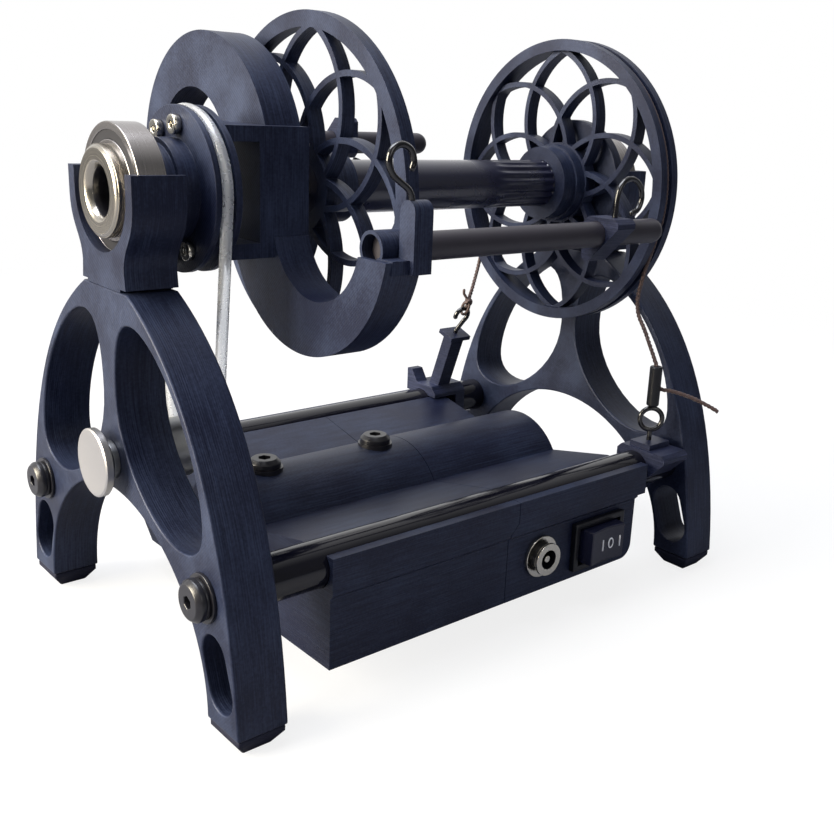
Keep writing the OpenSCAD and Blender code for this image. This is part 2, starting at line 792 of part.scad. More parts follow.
rocker_y = -housing_half + step_in + 1.8;
module rocker() {
    rim = 1.9;
    w = switch_w - 2 * rim - 2.2;
    h = switch_h - 2 * rim - 0.7;
    color("#1c1d24") translate([right_x - switch_x, rocker_y, panel_z - h / 2])
        linear_extrude(h) difference() {
            polygon([
                [-w / 2, -1.4], [-w / 2 + 0.8, -7.4], [0, -6.5], [w / 2 - 0.8, -7.4],
                [w / 2, -1.4], [3, 1.2], [-3, 1.2]
            ]);
        }
}

module speed_control() {
    color("#3b3d45") translate([0, 0, knob_z]) difference() {
        union() {
            tube_x(left_x + frame_t + seat_gap, left_x + frame_t + 6, 8, 0);
            tube_x(left_x - 1.9, left_x + frame_t + 1, 3.5, 0);
            tube_x(left_x - 1.6, left_x - seat_gap, 5, 0);
        }
        translate([0, 0, 0]) tube_x(left_x - 3, left_x + frame_t + 3, 3 + running_gap, 0);
    }
}

module knob_shaft() {
    color("silver") translate([0, 0, knob_z])
        tube_x(left_x - knob_out + 1.2, left_x + frame_t + 2.5, 3, 0);
}

module speed_knob() {
    color("#d8d9dc") translate([0, 0, knob_z]) difference() {
        union() {
            tube_x(left_x - knob_out, left_x - knob_out + 2.2, knob_r, 0);
            tube_x(left_x - knob_out + 2, left_x - 2.2, 4.6, 0);
        }
        tube_x(left_x - knob_out + 1.2, left_x, 3.01, 0);
    }
}

// ---------- flyer ----------

module orifice_tube() {
    len = orifice_end - orifice_front;
    mouth = 3.3;
    color("#cfc3b4") about_axis(orifice_front) difference() {
        union() {
            translate([orifice_r, 0]) square([bearing_bore_r - seat_gap - orifice_r, len]);
            translate([orifice_r, 0.7])
                square([orifice_flange_r - orifice_r, cradle_lip - 0.1]);
            translate([orifice_flange_r - 1.4, 1.4]) circle(1.4, $fn = 32);
            translate([orifice_r, 0]) square([orifice_flange_r - 1.4 - orifice_r, 1.4]);
        }
        // the flare of the mouth
        polygon([[orifice_r - 1, mouth + 1], [orifice_r, mouth], [orifice_r + 0.35, 1.6],
                 [orifice_r + 1.1, 0.45], [orifice_r + 2, -0.1], [orifice_r - 1, -0.1]]);
        translate([0, -1]) square([orifice_r, len + 2]);
    }
}

module whorl_disc(x0, w, bore) {
    about_axis(x0) intersection() {
        translate([0, -whorl_w / 2 + (x0 < left_x + belt_x - eps ? whorl_w / 2 : 0)])
            grooved_disc(whorl_belt_r, whorl_r, whorl_w, bore);
        translate([0, 0]) square([whorl_r + 1, w]);
    }
}

module screw_circle_holes(r) {
    for (a = screw_angles) rotate([a, 0, 0])
        translate([0, screw_circle, 0]) rotate([0, 90, 0]) cylinder(h = 30, r = r, center = true);
}

module whorl_front() {
    mid = whorl_x0 + whorl_w / 2;
    color("#2b2e3c") difference() {
        union() {
            whorl_disc(whorl_x0, whorl_w / 2 - 0.02, bearing_bore_r);
            about_axis(left_bearing_x + bearing_w)
                translate([bearing_bore_r, 0]) square([1.3, whorl_x0 - left_bearing_x - bearing_w]);
            about_axis(left_x + frame_t + 1)
                translate([bearing_bore_r, 0])
                    square([2.6, whorl_x0 - left_x - frame_t - 1 + eps]);
        }
        translate([mid, 0, axis_z]) screw_circle_holes(1.25 + seat_gap);
    }
}

module whorl_rear() {
    mid = whorl_x0 + whorl_w / 2;
    color("#2b2e3c") difference() {
        whorl_disc(mid, whorl_w / 2, bearing_bore_r);
        translate([mid, 0, axis_z]) screw_circle_holes(1.25 + seat_gap);
    }
}

module whorl_screw_set() {
    color("#b9b4a6") translate([whorl_x0, 0, axis_z]) for (a = screw_angles)
        rotate([a, 0, 0]) translate([0, screw_circle, 0])
            difference() {
                union() {
                    translate([-1.9, 0, 0]) rotate([0, 90, 0]) cylinder(h = 1.85, r = 2.4);
                    translate([-0.5, 0, 0]) rotate([0, 90, 0]) cylinder(h = 7, r = 1.25);
                }
                translate([-2.5, 0, 0]) rotate([0, 90, 0]) cylinder(h = 1.6, r = 1, $fn = 6);
            }
}

// One curved arm of the flyer, in (y, z) about the axis, on the front side
module arm_outline() {
    intersection() {
        difference() {
            translate([-arm_out_r + 10, -4.5]) circle(arm_out_r);
            translate([-arm_in_r - 11.5, -6]) circle(arm_in_r);
        }
        translate([-rod_dy - 20, -60]) square([rod_dy + 40, 60 - arm_end]);
    }
}

module flyer_half() {
    along_x(arm_x0, arm_t) arm_outline();
    translate([0, -rod_dy, -rod_dz]) tube_x(lug_x0, lug_x1, lug_r, 0);
    // the arm's end, which carries the lug and, beside it, the post for the fixed hook
    translate([arm_x0 + 2, -post_y + 1.5, -arm_end - 3])
        cube([arm_t - 2.5, post_y - rod_dy + 1, arm_end + 3 - rod_dz - 1.5]);
    translate([post_x1 - post_w, -post_y, -arm_end - 3])
        cube([post_w, post_w, arm_end + 3 + post_top]);
    translate([post_x1 - post_w, -post_y + post_w / 2, post_top]) rotate([0, 90, 0])
        cylinder(h = post_w, r = post_w / 2);
}

module flyer_body() {
    color("#2b2e3c") difference() {
        translate([0, 0, axis_z]) union() {
            translate([block_x0, -block_half_y, -block_half_z])
                cube([arm_x1 - block_x0, 2 * block_half_y, 2 * block_half_z]);
            flyer_half();
            rotate([180, 0, 0]) flyer_half();
        }
        // seat of the orifice tube, seat of the shaft, and the way out for the yarn
        translate([0, 0, axis_z]) {
            tube_x(block_x0 - 1, orifice_end + seat_gap, bearing_bore_r, 0);
            tube_x(arm_x1 - 8, arm_x1 + 1, shaft_r + 0.01, 0);
            translate([orifice_end + seat_gap, -block_half_y - 1, -exit_half])
                cube([exit_x1 - orifice_end - seat_gap, 2 * block_half_y + 2, 2 * exit_half]);
        }
        // bores for the rods and screw holes for the hooks
        for (p = rod_place) translate([0, p[0], axis_z + p[1]])
            tube_x(lug_x0 - 1, lug_x1 + 1, rod_r + 0.01, 0);
        for (s = [-1, 1])
            translate([post_hook_x, s * (post_y - post_w / 2), axis_z - s * post_top])
                cylinder(h = 12, r = wire_r, center = true);
    }
}

module flyer_rod(p, x1) {
    color("#4a4b50") translate([0, p[0], axis_z + p[1]]) {
        tube_x(lug_x0 + 3, x1 - rod_r, rod_r, 0);
        translate([x1 - rod_r, 0, 0]) rotate([0, 90, 0])
            rotate_extrude() intersection() {
                circle(rod_r);
                square(rod_r);
            }
    }
}

module front_flyer_rod() { flyer_rod(rod_place[0], right_x - front_rod_end); }
module back_flyer_rod() { flyer_rod(rod_place[1], right_x - back_rod_end); }

// Rounds a wire over where two stretches of it meet, or where it ends
module knuckle(p) { translate(p) sphere(wire_r + 0.04, $fn = 24); }

// A wire bent round in the X-Z plane, about c, from angle a0 by sweep
module wire_arc(c, r, a0, sweep) {
    translate(c) rotate([90, 0, 0]) rotate([0, 0, a0])
        rotate_extrude(angle = sweep) translate([r, 0]) circle(wire_r, $fn = 24);
    for (a = [a0, a0 + sweep]) knuckle(c + r * [cos(a), 0, sin(a)]);
}

// A stem that stands in its block, then a curl that starts at the stem's top
module wire_hook(stem, r, sweep, down) {
    translate([0, 0, -down]) cylinder(h = stem + down, r = wire_r, $fn = 24);
    wire_arc([r, 0, stem], r, 180 - sweep, sweep);
}

module lug_hook() {
    translate([post_hook_x, -post_y + post_w / 2, post_top + post_w / 2]) {
        bar([0, 0, -5], [0, 0, 0.6], wire_r - 0.02);
        knuckle([0, 0, 0.6]);
        bar([0, 0, 0.6], lug_curl + lug_curl_r * [cos(220), 0, sin(220)], wire_r);
        wire_arc(lug_curl, lug_curl_r, -20, 240);
    }
}

module front_lug_hook() { color("#2a2a2e") translate([0, 0, axis_z]) lug_hook(); }
module back_lug_hook() {
    color("#2a2a2e") translate([0, 0, axis_z]) rotate([180, 0, 0]) lug_hook();
}

module flyer_shaft() {
    color("silver") translate([0, 0, axis_z])
        tube_x(arm_x1 - 5.9, right_x - frame_t + 9, shaft_r, 0);
}

module rear_hub() {
    color("#2b2e3c") difference() {
        union() {
            about_axis(rear_disc_x0) square([rear_disc_r, rear_disc_t]);
            about_axis(rear_disc_x0) square([11.4, right_bearing_x - rear_disc_x0]);
            about_axis(rear_disc_x0)
                square([bearing_bore_r - seat_gap, right_bearing_x + bearing_w - rear_disc_x0]);
        }
        translate([0, 0, axis_z])
            tube_x(rear_disc_x0 - 1, right_x - frame_t + 9.1, shaft_r + 0.01, 0);
    }
}

// ---------- bobbin ----------

module rosette(limit_r) {
    intersection() {
        circle(limit_r);
        union() for (i = [0 : petals - 1]) rotate(180 / petals + 90 + 360 * i / petals)
            translate([petal_reach, 0]) difference() {
                circle(petal_r + strip_w / 2);
                circle(petal_r - strip_w / 2);
            }
    }
}

module front_flange() {
    rim_in = flange_r - 4.2;
    color("#2b2e3c") translate([0, 0, axis_z]) difference() {
        union() {
            along_x(front_flange_x0, front_flange_t) {
                difference() {
                    circle(flange_r);
                    circle(rim_in);
                }
                rotate(front_turn) rosette(rim_in + 0.3);
                circle(hub_r);
            }
            tube_x(front_flange_x0, front_flange_x0 + 12, hub_r - 2, 0);
        }
        tube_x(front_flange_x0 - 1, front_flange_x0 + 20, core_r + 0.02, 0);
    }
}

module rear_flange() {
    web_x0 = rear_flange_x0 + 2;
    web_t = 4.5;
    color("#2b2e3c") difference() {
        union() {
            about_axis(rear_flange_x0) difference() {
                translate([web_in_r, 0]) square([flange_r - web_in_r, rear_flange_t]);
                translate([brake_path_r, rear_flange_t / 2]) circle(brake_groove_r, $fn = 48);
                translate([brake_path_r, rear_flange_t / 2 - brake_groove_r])
                    square([5, 2 * brake_groove_r]);
            }
            translate([0, 0, axis_z]) {
                along_x(web_x0, web_t) {
                    rotate(rear_turn) rosette(web_in_r + 0.3);
                    circle(hub_r + 1.5);
                }
                tube_x(rear_flange_x0 - 6.6, web_x0 + 1, hub_r, 0);
                tube_x(rear_flange_x0 - 1.5, web_x0, hub_r + 0.8, 0);
                tube_x(web_x0, rear_flange_x1, hub_r - 1.5, 0);
            }
        }
        translate([0, 0, axis_z]) tube_x(rear_flange_x0 - 12, rear_flange_x1 + 1, core_r + 0.02, 0);
    }
}

module bobbin_core() {
    flute_x = rear_flange_x0 - 33;
    color("#15161c") translate([0, 0, axis_z]) difference() {
        tube_x(front_flange_x0, rear_flange_x1, core_r, core_bore_r);
        for (i = [0 : 17]) rotate([20 * i, 0, 0]) translate([0, core_r + 0.35, 0])
            tube_x(flute_x, rear_flange_x0 - 6.7, 0.9, 0);
    }
}

// ---------- sliding hooks ----------

// A three-cornered clip round a bar of radius r, with its flat top upwards
module clip_block(len, r, leg) {
    c = r + clip_wall;
    difference() {
        rotate([90, 0, 90]) linear_extrude(len) polygon([
            [-leg + c + 1.2, c], [c - 1.6, c], [c, c - 1.6], [c, -leg + c + 1.2],
            [c - 1.2, -leg + c], [c - 2.6, -leg + c], [-leg + c, c - 2.6], [-leg + c, c - 1.2]
        ]);
        translate([-1, 0, 0]) rotate([0, 90, 0]) cylinder(h = len + 2, r = r);
    }
}

slider_bore = rod_r + running_gap;
module slider_block(x0) {
    translate([right_x - x0, -rod_dy, -rod_dz]) difference() {
        clip_block(slider_len, slider_bore, slider_leg);
        translate([hook_place, -hook_side, 3]) cylinder(h = 6, r = wire_r);
    }
}

module slider_hook(x0) {
    top = slider_bore + clip_wall;
    translate([right_x - x0 + hook_place, -rod_dy - hook_side, -rod_dz + top])
        wire_hook(hook_stem, hook_r, 235, 0.8);
}

module front_slider() { color("#33353f") translate([0, 0, axis_z]) slider_block(front_slider_x); }
module front_slider_hook() {
    color("#2a2a2e") translate([0, 0, axis_z]) slider_hook(front_slider_x);
}
module back_slider() {
    color("#33353f") translate([0, 0, axis_z]) rotate([180, 0, 0]) slider_block(back_slider_x);
}
module back_slider_hook() {
    color("#2a2a2e") translate([0, 0, axis_z]) rotate([180, 0, 0]) slider_hook(back_slider_x);
}

// ---------- brake ----------

module brake_post() {
    color("#2b2e3c") translate([post_x, rail_y, rail_z]) difference() {
        union() {
            clip_base();
            rotate([post_lean, 0, 0]) {
                translate([-2.8, -2.4, rail_r]) cube([5.6, 4.8, post_len - 1.5]);
                translate([-4.6, -3.6, rail_r + post_len - 1.6]) cube([9.2, 7.2, 1.6]);
            }
        }
        rotate([post_lean, 0, 0]) translate([0, 0, rail_r + post_len - 7])
            cylinder(h = 10, r = wire_r);
        translate([-8, 0, 0]) rotate([0, 90, 0]) cylinder(h = 20, r = rail_r + seat_gap);
    }
}

// The clip on the back rail: a saddle over the housing's lip, closed round the rail beyond it
module clip_base() {
    w = rail_r + 2.2;
    over_lip = lip_z - rail_z + 0.35;
    beyond_lip = house_x1 + lip_reach + 0.4 - post_x;
    translate([-6.5, 0, 0]) rotate([90, 0, 90]) linear_extrude(14) polygon([
        [-w, over_lip], [w, over_lip], [w, w - 2.5], [w - 2.5, w], [-w + 2.5, w], [-w, w - 2.5]
    ]);
    // the wing at the back, by which the clip is pushed on
    translate([-6.5, 0, 0]) rotate([90, 0, 90]) linear_extrude(5) polygon([
        [2, over_lip], [w, over_lip], [w, w + 4.4], [w - 2.6, w + 4.4], [2.5, w]
    ]);
    translate([beyond_lip, 0, 0]) rotate([90, 0, 90]) linear_extrude(4.4) polygon([
        [-w, 2.5 - w], [2.5 - w, -w], [w - 2.5, -w], [w, 2.5 - w],
        [w, w - 2.5], [w - 2.5, w], [-w + 2.5, w], [-w, w - 2.5]
    ]);
}

post_tip = [post_x, rail_y - (rail_r + post_len) * sin(post_lean),
            rail_z + (rail_r + post_len) * cos(post_lean)];

module brake_post_hook() {
    color("#2a2a2e") translate(post_tip) rotate([post_lean, 0, 0]) {
        translate([0, 0, -5]) cylinder(h = 6, r = wire_r - 0.02, $fn = 24);
        knuckle([0, 0, 0.9]);
        bar([0, 0, 0.9], post_curl + post_curl_r * [cos(-50), 0, sin(-50)], wire_r);
        wire_arc(post_curl, post_curl_r, -50, 235);
    }
}

module brake_clamp() {
    color("#2b2e3c") translate([brake_x - 6, -rail_y, rail_z]) difference() {
        union() {
            clip_block(12, rail_r + seat_gap, clamp_leg);
            translate([1, -5, 6.5]) cube([10, 8, 2.4]);
        }
        translate([6, ring_at[1] + rail_y, 4]) cylinder(h = 10, r = wire_r);
    }
}

module brake_ring() {
    foot = ring_at - [0, 0, ring_r];
    color("#2a2a2e") {
        bar([foot[0], foot[1], rail_z + 6.5], foot, wire_r - 0.02);
        translate(ring_at) rotate([0, 0, -40]) wire_arc([0, 0, 0], ring_r, -90, 350);
    }
}

// A point given along the post's own lean, from its top
function off_post(p) = post_tip + [p[0], -p[2] * sin(post_lean), p[2] * cos(post_lean)];
knot_up = 79;
hook_hold = off_post(post_curl + (post_curl_r + wire_r + 0.1) * [cos(knot_up), 0, sin(knot_up)]);
knot = off_post(post_curl + (post_curl_r + 2.9) * [cos(knot_up), 0, sin(knot_up)]);

back_tangent = let (d = [knot[1], knot[2] - axis_z])
    atan2(d[1], d[0]) + acos(brake_path_r / norm(d));
front_tangent = let (d = [bow[0][1], bow[0][2] - axis_z])
    360 + atan2(d[1], d[0]) - acos(brake_path_r / norm(d));
function on_brake(angle) = [brake_x, brake_path_r * cos(angle), axis_z + brake_path_r * sin(angle)];
// Where the cord has cleared the flange's rim
off_brake = on_brake(back_tangent) + 15 * [0, sin(back_tangent), -cos(back_tangent)];

// The cord: tied to the post's hook, over the flange's groove, and down into the sleeve
module brake_cord() {
    color("#5b4339") {
        bar(hook_hold, knot, cord_r);
        translate(knot) sphere(knot_r, $fn = 32);
        bar(knot, off_brake, cord_r);
        translate(off_brake) sphere(cord_r + 0.03, $fn = 32);
        bar(off_brake, on_brake(back_tangent), cord_r);
        translate(on_brake(back_tangent)) sphere(cord_r + 0.03, $fn = 32);
        translate([brake_x, 0, axis_z]) rotate([90, 0, 90]) rotate([0, 0, back_tangent])
            rotate_extrude(angle = front_tangent - back_tangent)
                translate([brake_path_r, 0]) circle(cord_r, $fn = 32);
        translate(on_brake(front_tangent)) sphere(cord_r + 0.03, $fn = 32);
        bar(on_brake(front_tangent), bow[0], cord_r);
        translate(bow[0]) sphere(cord_r + 0.08, $fn = 32);
        bar(bow[0], bow[1], cord_r);
        translate(bow[1]) sphere(cord_r + 0.08, $fn = 32);
        bar(bow[1], sleeve_at + [0, 0, sleeve_len + 0.25], cord_r);
    }
}

// The sleeve that grips both ends of the cord, hung on the ring
module cord_sleeve() {
    color("#22232a") translate(sleeve_at) {
        cylinder(h = sleeve_len - seat_gap, r = sleeve_r);
    }
}

// The cord's loose end, swept along its own points
function frame_of(p, i) = let (
    a = p[max(i - 1, 0)], b = p[min(i + 1, len(p) - 1)], t = (b - a) / norm(b - a),
    u0 = cross(t, [0, 0, 1]), u = u0 / norm(u0)
) [u, cross(t, u)];

module swept(p, r, sides) {
    n = len(p);
    pts = [for (i = [0 : n - 1], k = [0 : sides - 1]) let (f = frame_of(p, i), a = 360 * k / sides)
        p[i] + r * (cos(a) * f[0] + sin(a) * f[1])];
    skin = [for (i = [0 : n - 2], k = [0 : sides - 1]) let (m = (k + 1) % sides)
        each [[i * sides + k, (i + 1) * sides + k, (i + 1) * sides + m],
              [i * sides + k, (i + 1) * sides + m, i * sides + m]]];
    caps = [for (k = [1 : sides - 2])
        each [[0, k, k + 1], [(n - 1) * sides, (n - 1) * sides + k + 1, (n - 1) * sides + k]]];
    polyhedron(pts, concat(skin, caps));
}

module cord_tail() {
    color("#5b4339") translate(sleeve_at + [1.7, -1.6, 0]) swept(tail_route, cord_r, 8);
}

left_frame();
right_frame();
left_cradle();
right_cradle();
cradle_screws();
bearing_outer_rings();
bearing_inner_rings();
bearing_balls();
bearing_seals();
front_rail();
back_rail();
rail_bolts();
rail_washers();
foot_pads();
motor_housing();
control_housing();
motor_cover();
control_cover();
cover_screws();
ridge_screws();
ridge_washers();
motor_sleeve();
motor();
motor_shaft();
motor_pulley();
drive_belt();
controller_board();
power_socket();
socket_nut();
switch_body();
rocker();
speed_control();
knob_shaft();
speed_knob();
orifice_tube();
whorl_front();
whorl_rear();
whorl_screw_set();
flyer_body();
front_flyer_rod();
back_flyer_rod();
front_lug_hook();
back_lug_hook();
flyer_shaft();
rear_hub();
front_flange();
rear_flange();
bobbin_core();
front_slider();
front_slider_hook();
back_slider();
back_slider_hook();
brake_post();
brake_post_hook();
brake_clamp();
brake_ring();
brake_cord();
cord_sleeve();
cord_tail();
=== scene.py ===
"""Looks of a small electric yarn spinner.

Two printed A-frames stand on rubber pads and are tied by two black rails. A flyer turns in open
bearing cradles, a bobbin with rosette flanges turns on the flyer's shaft, and a clear belt drives
the flyer from a motor under the platform. The frame gives every place and size; this file gives
the surfaces, the wires, the cord and the finishes.
"""

import json
import logging
import math
from dataclasses import dataclass
from enum import Enum

import bmesh
import bpy
import numpy as np
from mathutils import Matrix, Vector

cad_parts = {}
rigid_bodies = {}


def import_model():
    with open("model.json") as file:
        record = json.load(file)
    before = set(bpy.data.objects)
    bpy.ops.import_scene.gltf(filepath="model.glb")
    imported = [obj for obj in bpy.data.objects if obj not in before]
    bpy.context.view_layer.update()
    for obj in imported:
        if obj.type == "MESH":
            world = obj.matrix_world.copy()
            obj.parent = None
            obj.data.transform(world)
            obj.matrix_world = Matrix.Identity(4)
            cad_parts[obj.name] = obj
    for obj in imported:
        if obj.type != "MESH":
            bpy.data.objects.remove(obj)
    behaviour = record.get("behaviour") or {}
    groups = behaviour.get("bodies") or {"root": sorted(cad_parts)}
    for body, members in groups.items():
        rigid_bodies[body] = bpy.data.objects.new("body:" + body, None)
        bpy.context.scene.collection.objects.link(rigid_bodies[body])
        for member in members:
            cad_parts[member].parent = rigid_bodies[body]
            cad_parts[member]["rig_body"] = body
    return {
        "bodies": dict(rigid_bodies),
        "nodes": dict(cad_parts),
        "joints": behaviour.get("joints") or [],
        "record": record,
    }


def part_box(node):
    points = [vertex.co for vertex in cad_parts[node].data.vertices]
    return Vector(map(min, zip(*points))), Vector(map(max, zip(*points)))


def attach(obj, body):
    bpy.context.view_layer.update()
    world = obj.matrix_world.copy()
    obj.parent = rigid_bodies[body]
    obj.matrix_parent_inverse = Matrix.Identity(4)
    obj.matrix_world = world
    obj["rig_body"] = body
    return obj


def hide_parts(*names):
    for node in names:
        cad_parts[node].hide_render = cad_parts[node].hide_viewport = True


LOG = logging.getLogger("yarn_spinner")

Tree = bpy.types.NodeTree
Socket = bpy.types.NodeSocket
ShaderNode = bpy.types.Node
Material = bpy.types.Material
Piece = bpy.types.Object

MM = 0.001
# heights of the flyer's axis and of the speed knob's above the undersides of the A-frames, in mm
AXIS_UP = 117.0
KNOB_UP = 50.5
# edges sharper than this, in degrees, stay sharp on turned pieces
SHARP_DEG = 34.0
# on copies of CAD pieces: points this near are one, faces this flat to each other are one, and edges
# sharper than this are rounded
MERGE_MM = 0.002
FLAT_DEG = 0.6
EDGE_DEG = 38.0


@dataclass
class Datum:
    """Where the stand's left face and the undersides of the A-frames lie in the frame, in mm."""

    left: float = 0.0
    under: float = 0.0

    def read(self) -> None:
        """Takes both from the left A-frame's box."""
        low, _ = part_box("left_frame")
        self.left = low[0] / MM
        self.under = low[2] / MM


DATUM = Datum()


def place(x: float, y: float, z: float) -> np.ndarray:
    """A point in metres in the frame, from mm counted from the datum's left face and undersides."""
    return np.array([x + DATUM.left, y, z + DATUM.under]) * MM


def linear(code: str) -> tuple[float, float, float, float]:
    """Turns an sRGB hex colour to the linear RGBA that the shaders take.

    Args:
        code: a colour as "#rrggbb".
    Returns:
        Red, green, blue and an alpha of 1.
    """
    parts = [int(code[i : i + 2], 16) / 255 for i in (1, 3, 5)]
    flat = [c / 12.92 if c <= 0.04045 else ((c + 0.055) / 1.055) ** 2.4 for c in parts]
    return (flat[0], flat[1], flat[2], 1.0)


# ---------------------------------------------------------------- finishes


# settings that several nodes share
TIMES = {"operation": "MULTIPLY"}
TIMES_PLUS = {"operation": "MULTIPLY_ADD"}
COLOURS = {"data_type": "RGBA"}
WHITE = (1.0, 1.0, 1.0, 1.0)


class Stack(Enum):
    """The direction in which a printed piece was built up, as its layers' normal."""

    ALONG_X = 0
    ALONG_Z = 2


def node(tree: Tree, kind: str, settings: dict | None = None, **links) -> ShaderNode:
    """Adds a shader node, sets it and links its inputs.

    Args:
        tree: the material's node tree.
        kind: the node's type, such as "ShaderNodeTexNoise".
        settings: attribute values, or input values under the input's name.
        links: input name with spaces as underscores, or i and its number, to what feeds it.
    Returns:
        The new node.
    """
    made = tree.nodes.new(kind)
    for key, value in (settings or {}).items():
        if hasattr(made, key):
            setattr(made, key, value)
        else:
            made.inputs[key].default_value = value
    for key, value in links.items():
        numbered = key[0] == "i" and key[1:].isdigit()
        slot = made.inputs[int(key[1:]) if numbered else key.replace("_", " ")]
        if isinstance(value, Socket):
            tree.links.new(value, slot)
        else:
            slot.default_value = value
    return made


def blank(name: str) -> tuple[Material, Tree, ShaderNode, ShaderNode]:
    """An empty material with its surface shader and Object coordinates.

    Args:
        name: the material's name.
    Returns:
        The material, its node tree, its surface shader and its texture coordinates.
    """
    material = bpy.data.materials.new(name)
    material.use_nodes = True
    tree = material.node_tree
    tree.nodes.clear()
    out = tree.nodes.new("ShaderNodeOutputMaterial")
    shader = tree.nodes.new("ShaderNodeBsdfPrincipled")
    tree.links.new(shader.outputs["BSDF"], out.inputs["Surface"])
    where = tree.nodes.new("ShaderNodeTexCoord")
    return material, tree, shader, where


@dataclass(frozen=True)
class PrintedPlastic:
    """Printed PLA in navy black: fine layer ridges on the walls, hatch lines on the flat skins.

    Args:
        name: the material's name.
        stack: the direction in which the layers pile up.
        base: colour of the plastic in shade.
        pale: colour where the surface is scuffed or the layers catch light.
        layer_mm: spacing of the layer ridges. Real layers are 0.2 mm; about 0.6 mm is what still shows.
        hatch_mm: spacing of the hatch lines. Real lines are 0.4 mm; 0.9 mm is what still shows.
        rough: roughness of the skin.
        wander_mm: how far the ridges stray from straight.
        patch_scale: paler patches, about 20 mm across, as waves to the metre.
        grit_scale: flecks, about 0.7 mm across, as waves to the metre.
        streak_scales: thin scuffs, drawn out along the layers, as waves to the metre up the stack and
            across it.
    """

    name: str
    stack: Stack
    base: str = "#0e1327"
    pale: str = "#2a3248"
    layer_mm: float = 0.55
    hatch_mm: float = 0.9
    rough: float = 0.42
    wander_mm: float = 1.1
    patch_scale: float = 45.0
    grit_scale: float = 1400.0
    streak_scales: tuple[float, float] = (2600.0, 90.0)

    def build(self) -> Material:
        """Makes the material: ridges or hatch lines as bump, with patches, scuffs and flecks as colour.

        Returns:
            The material.
        """
        material, tree, shader, where = blank(self.name)
        point = where.outputs["Object"]
        split = node(tree, "ShaderNodeSeparateXYZ", i0=point)
        grit = node(tree, "ShaderNodeTexNoise", {"Scale": self.grit_scale, "Detail": 3.0}, Vector=point)
        patch = node(tree, "ShaderNodeTexNoise", {"Scale": self.patch_scale, "Detail": 5.0}, Vector=point)
        skin = self.skin_share(tree, where)
        ridge = self.ridges(tree, point, split.outputs[self.stack.value])
        hatch = self.hatching(tree, split)
        lines = node(tree, "ShaderNodeMix", {"data_type": "FLOAT"}, i0=skin, i2=ridge, i3=hatch)
        height = node(tree, "ShaderNodeMath", TIMES_PLUS, i0=grit.outputs["Fac"], i1=0.8, i2=lines.outputs[0])
        bump = node(tree, "ShaderNodeBump", {"Strength": 0.42, "Distance": 0.00006}, Height=height.outputs[0])
        worn = self.wear(tree, point, patch.outputs["Fac"], grit.outputs["Fac"])
        colour = node(tree, "ShaderNodeMix", COLOURS, i0=worn, i6=linear(self.base), i7=linear(self.pale))
        reach = {"To Min": self.rough - 0.06, "To Max": self.rough + 0.1}
        rough = node(tree, "ShaderNodeMapRange", reach, Value=patch.outputs["Fac"])
        tree.links.new(colour.outputs[2], shader.inputs["Base Color"])
        tree.links.new(rough.outputs[0], shader.inputs["Roughness"])
        tree.links.new(bump.outputs[0], shader.inputs["Normal"])
        shader.inputs["IOR"].default_value = 1.46
        shader.inputs["Specular IOR Level"].default_value = 0.4
        shader.inputs["Specular Tint"].default_value = linear("#e2e8ff")
        return material

    def skin_share(self, tree: Tree, where: ShaderNode) -> Socket:
        """The share of hatching: 1 where a face looks along the stack and 0 on the walls.

        Args:
            tree: the material's node tree.
            where: its texture coordinates.
        Returns:
            The share.
        """
        facing = node(tree, "ShaderNodeSeparateXYZ", i0=where.outputs["Normal"])
        flat = node(tree, "ShaderNodeMath", {"operation": "ABSOLUTE"}, i0=facing.outputs[self.stack.value])
        share = node(tree, "ShaderNodeMapRange", {"From Min": 0.8, "From Max": 0.97}, Value=flat.outputs[0])
        return share.outputs[0]

    def ridges(self, tree: Tree, point: Socket, up: Socket) -> Socket:
        """Layer ridges: a sine of the height, pushed about by noise, over layers of uneven width.

        Args:
            tree: the material's node tree.
            point: the place on the piece.
            up: the height along the stack.
        Returns:
            The ridges' height.
        """
        wander = node(tree, "ShaderNodeTexNoise", {"Scale": 60.0, "Detail": 2.0}, Vector=point)
        push = self.wander_mm * MM
        drift = node(tree, "ShaderNodeMath", TIMES_PLUS, i0=wander.outputs["Fac"], i1=push, i2=up)
        turns = 2 * math.pi / (self.layer_mm * MM)
        phase = node(tree, "ShaderNodeMath", TIMES, i0=drift.outputs[0], i1=turns)
        even = node(tree, "ShaderNodeMath", {"operation": "SINE"}, i0=phase.outputs[0])
        layers = {"noise_dimensions": "1D", "Scale": 1 / (1.4 * self.layer_mm * MM), "Detail": 3.0}
        uneven = node(tree, "ShaderNodeTexNoise", layers, W=drift.outputs[0])
        wide = node(tree, "ShaderNodeMath", TIMES, i0=uneven.outputs["Fac"], i1=2.2)
        ridge = node(tree, "ShaderNodeMath", TIMES_PLUS, i0=even.outputs[0], i1=0.35, i2=wide.outputs[0])
        return ridge.outputs[0]

    def hatching(self, tree: Tree, split: ShaderNode) -> Socket:
        """Hatch lines at 45 degrees on the skins: a sine of the sum of the two places across the stack.

        Args:
            tree: the material's node tree.
            split: the place on the piece, split along the three axes.
        Returns:
            The lines' height.
        """
        first, second = (split.outputs[i] for i in range(3) if i != self.stack.value)
        across = node(tree, "ShaderNodeMath", {"operation": "ADD"}, i0=first, i1=second)
        turns = 2 * math.pi / (self.hatch_mm * MM)
        phase = node(tree, "ShaderNodeMath", TIMES, i0=across.outputs[0], i1=turns)
        wave = node(tree, "ShaderNodeMath", {"operation": "SINE"}, i0=phase.outputs[0])
        return node(tree, "ShaderNodeMath", TIMES, i0=wave.outputs[0], i1=0.35).outputs[0]

